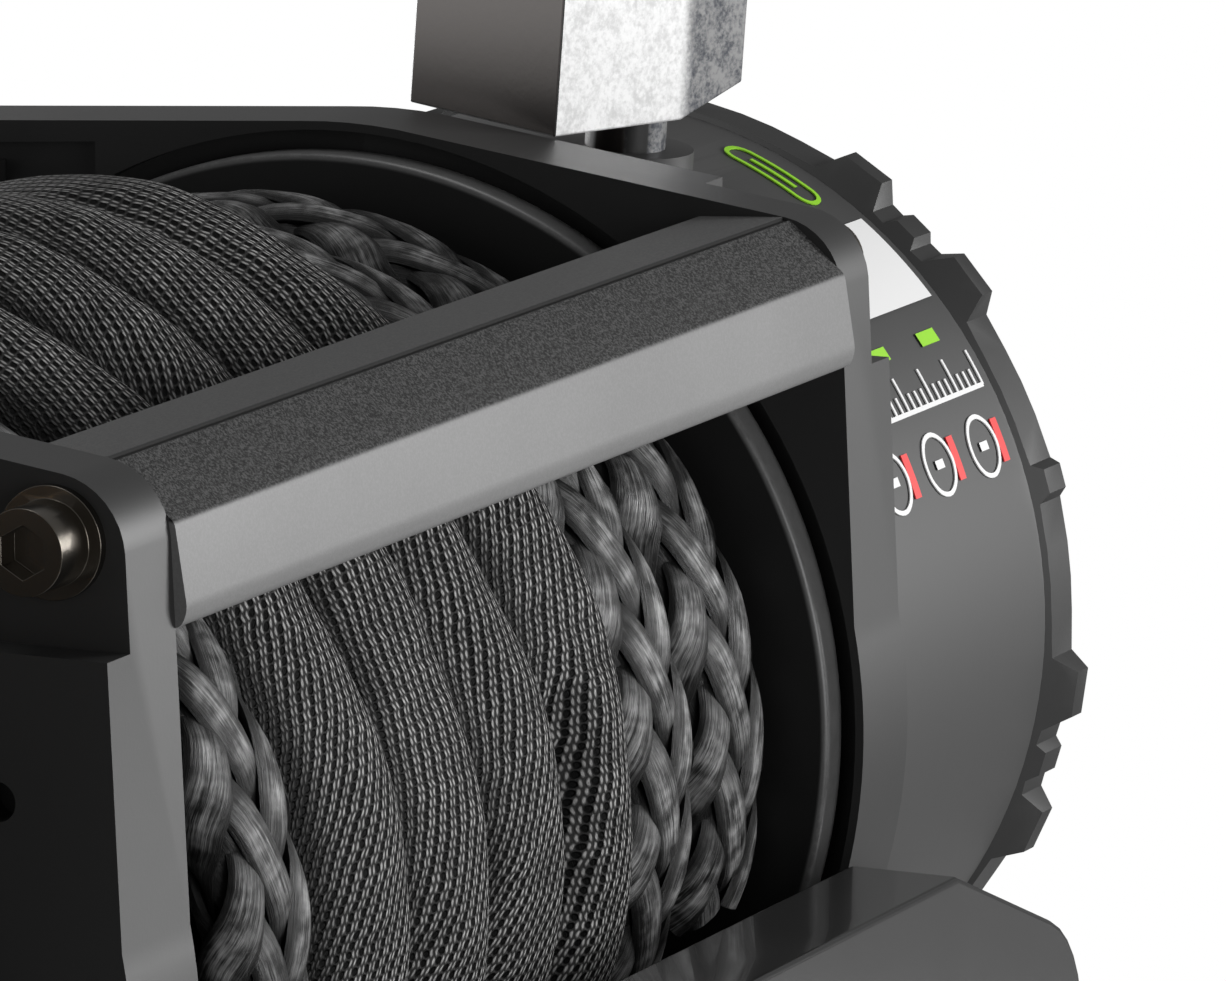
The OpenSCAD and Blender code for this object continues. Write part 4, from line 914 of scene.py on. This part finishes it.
def chromePaint(place):
    # End face smooth, with a painted reflection from dark at its foot to light at its top; front face
    # pale and clouded, its far end in painted shade; a painted dark reflection on the rounded corner
    # between them, and a painted highlight along the far edge
    facing = place.vector("NewGeometry", "Normal")
    nx, ny = facing.part("X"), facing.part("Y")
    endFace = 1 - nx.step(-0.93, -0.88)
    # Painted dark reflection on the rounded corner between end and front faces, and a painted highlight
    # along the far edge
    corner = (1 - endFace) * (1 - nx.step(-0.55, -0.48)) * (1 - ny.step(0.2, 0.3))
    farEdgeHighlight = ny.step(0.35, 0.55)
    cloud = place.noise(260.0, 6.0, 0.72)
    fine = place.noise(1100.0, 3.0)
    tone = (cloud * 0.6 + fine * 0.4).step(0.36, 0.6)
    reach = leverLow[0] + (leverHigh[0] - leverLow[0]) * lever["darkShare"]
    far = place.part("X") + (cloud - 0.5) * lever["ragged"]
    shade = far.step(reach - lever["darkBlur"], reach + lever["darkBlur"])
    pale = tone.greys(*lever["pale"])
    dark = tone.mix(lever["dark"], grey(lever["darkGrey"]))
    # Painted reflection on the end face, dark at its foot and light at its top
    high = place.part("Z").step(leverLow[2] + lever["reflectionUp"], leverHigh[2] - lever["reflectionDown"])
    colour = endFace.mix(shade.mix(pale, dark), high.mix(lever["reflectionLow"], lever["reflectionHigh"]))
    colour = farEdgeHighlight.mix(corner.mix(colour, grey(lever["corner"])), grey(lever["farEdgeHighlight"]))
    return {"Base Color": colour, "Roughness": 0.42 - endFace * 0.14, "Metallic": 0.3 + endFace * 0.7,
            "height": (fine - 0.5) * 1.5e-5 + cloud * 2e-5}


chrome = material("clouded chrome", grey(0.5), 0.3, 1.0, chromePaint)
dressed("clutch_lever", chrome, 2.8, 4)
dressed("clutch_pin", finish["steel"], 0.4)
print("clutch done")

# Motor and the pieces inside
dressAll([
    ("motor_flange", "motor", 1.0, "motor_paint", 2),
    ("motor_case", "motor", 0.6, "motor_paint", 2),
    ("motor_end_cap", "motor", 1.6, "motor_paint", 2),
    ("motor_bolts", "oxide", 0.5, "black_oxide_steel", 2),
    ("terminal_studs", "bronze", 0.4, "bronze", 2),
    ("terminal_insulators", "plastic", 0.5, "insulator_plastic", 2),
])
inside = {
    "steel": ["output_ring_gear", "clutch_ring_gear", "end_bearing", "motor_bearings", "output_carrier",
              "motor_shaft", "shaft_coupling", "drive_shaft", "stage1_carrier", "stage2_carrier",
              "pole_shoes"],
    "copper": ["field_coils", "commutator", "armature"],
    "carbon": ["brushes"],
    "plastic": ["brush_holder"],
    "lining": ["load_brake"],
}
for k in (1, 2, 3):
    inside["steel"].append(f"stage{k}_sun")
    inside["steel"] += [f"stage{k}_planet_{letter}" for letter in "abc"]
for paint, names in inside.items():
    for cadNode in names:
        mesh = nodes[cadNode].data
        mesh.materials.clear()
        mesh.materials.append(finish[paint])
print("motor and insides done")

# Floor, lamps and camera, in metres
board = {"low": (-0.38, -0.28), "high": (0.34, 0.22), "corner": (0.03, 0.03), "steps": 8}
sky = {"seen": 1.0, "mirrored": 0.24, "fill": 0.08}  # what the camera, a shine and a surface see
lampRows = [  # name, place, aim, width and height, watts
    ("keyLight", (0.8, -1.0, 0.34), (-0.1, 0.0, 0.12), (0.5, 0.5), 15.0),
    ("sideLight", (-0.4, -1.0, 0.24), (0.0, 0.0, 0.1), (0.6, 0.6), 4.4),
    ("topLight", (0.1, 0.2, 1.5), (0.0, 0.0, 0.1), (0.9, 0.5), 4.0),
    ("backLight", (0.75, 1.2, 0.35), (0.0, 0.0, 0.1), (0.8, 0.8), 8.0),
]
view = {
    "lens": 304.7, "sensor": 36.0, "shiftUp": -0.0053, "at": (-1.42133, -0.78617, 0.47339),
    "right": (0.43105, -0.90233, 0.0), "up": (0.1705, 0.08145, 0.982),
    "back": (-0.88608, -0.42329, 0.18895),
}

outline = roundedBox(board["low"], board["high"], board["corner"], board["steps"])
ground = bpy.data.meshes.new("paleBoard")
ground.from_pydata([(x, y, 0.0) for x, y in outline], [], [range(len(outline))])
ground.materials.append(material("pale floor", grey(0.8), 0.6))
floor = bpy.data.objects.new("paleBoard", ground)
bpy.context.scene.collection.objects.link(floor)

world = bpy.data.worlds.new("studio")
bpy.context.scene.world = world
world.use_nodes = True
background = world.node_tree.nodes["Background"]
background.inputs["Strength"].default_value = 1.0
start = Socket(world.node_tree, None)
seen = start.node("LightPath", {}, output="Is Camera Ray")
shiny = start.node("LightPath", {}, output="Is Glossy Ray")
colour = seen.mix(shiny.greys(sky["fill"], sky["mirrored"]), grey(sky["seen"]))
world.node_tree.links.new(colour.out, background.inputs["Color"])


def lamp(name, at, aim, size, power):
    data = bpy.data.lights.new(name, "AREA")
    data.energy = power
    data.shape = "RECTANGLE"
    data.size, data.size_y = size
    obj = bpy.data.objects.new(name, data)
    obj.location = at
    obj.rotation_euler = (Vector(aim) - Vector(at)).to_track_quat("-Z", "Y").to_euler()
    bpy.context.scene.collection.objects.link(obj)
    return obj


lamps = [lamp(*row) for row in lampRows]

camera = bpy.data.cameras.new("camera")
camera.lens = view["lens"]
camera.sensor_width = view["sensor"]
camera.shift_y = view["shiftUp"]
camera.dof.use_dof = False
cameraObject = bpy.data.objects.new("camera", camera)
turnMatrix = Matrix((view["right"], view["up"], view["back"])).transposed().to_4x4()
cameraObject.matrix_world = Matrix.Translation(view["at"]) @ turnMatrix
bpy.context.scene.collection.objects.link(cameraObject)
bpy.context.scene.camera = cameraObject
bpy.context.scene.view_settings.view_transform = "Standard"
print("stage done")
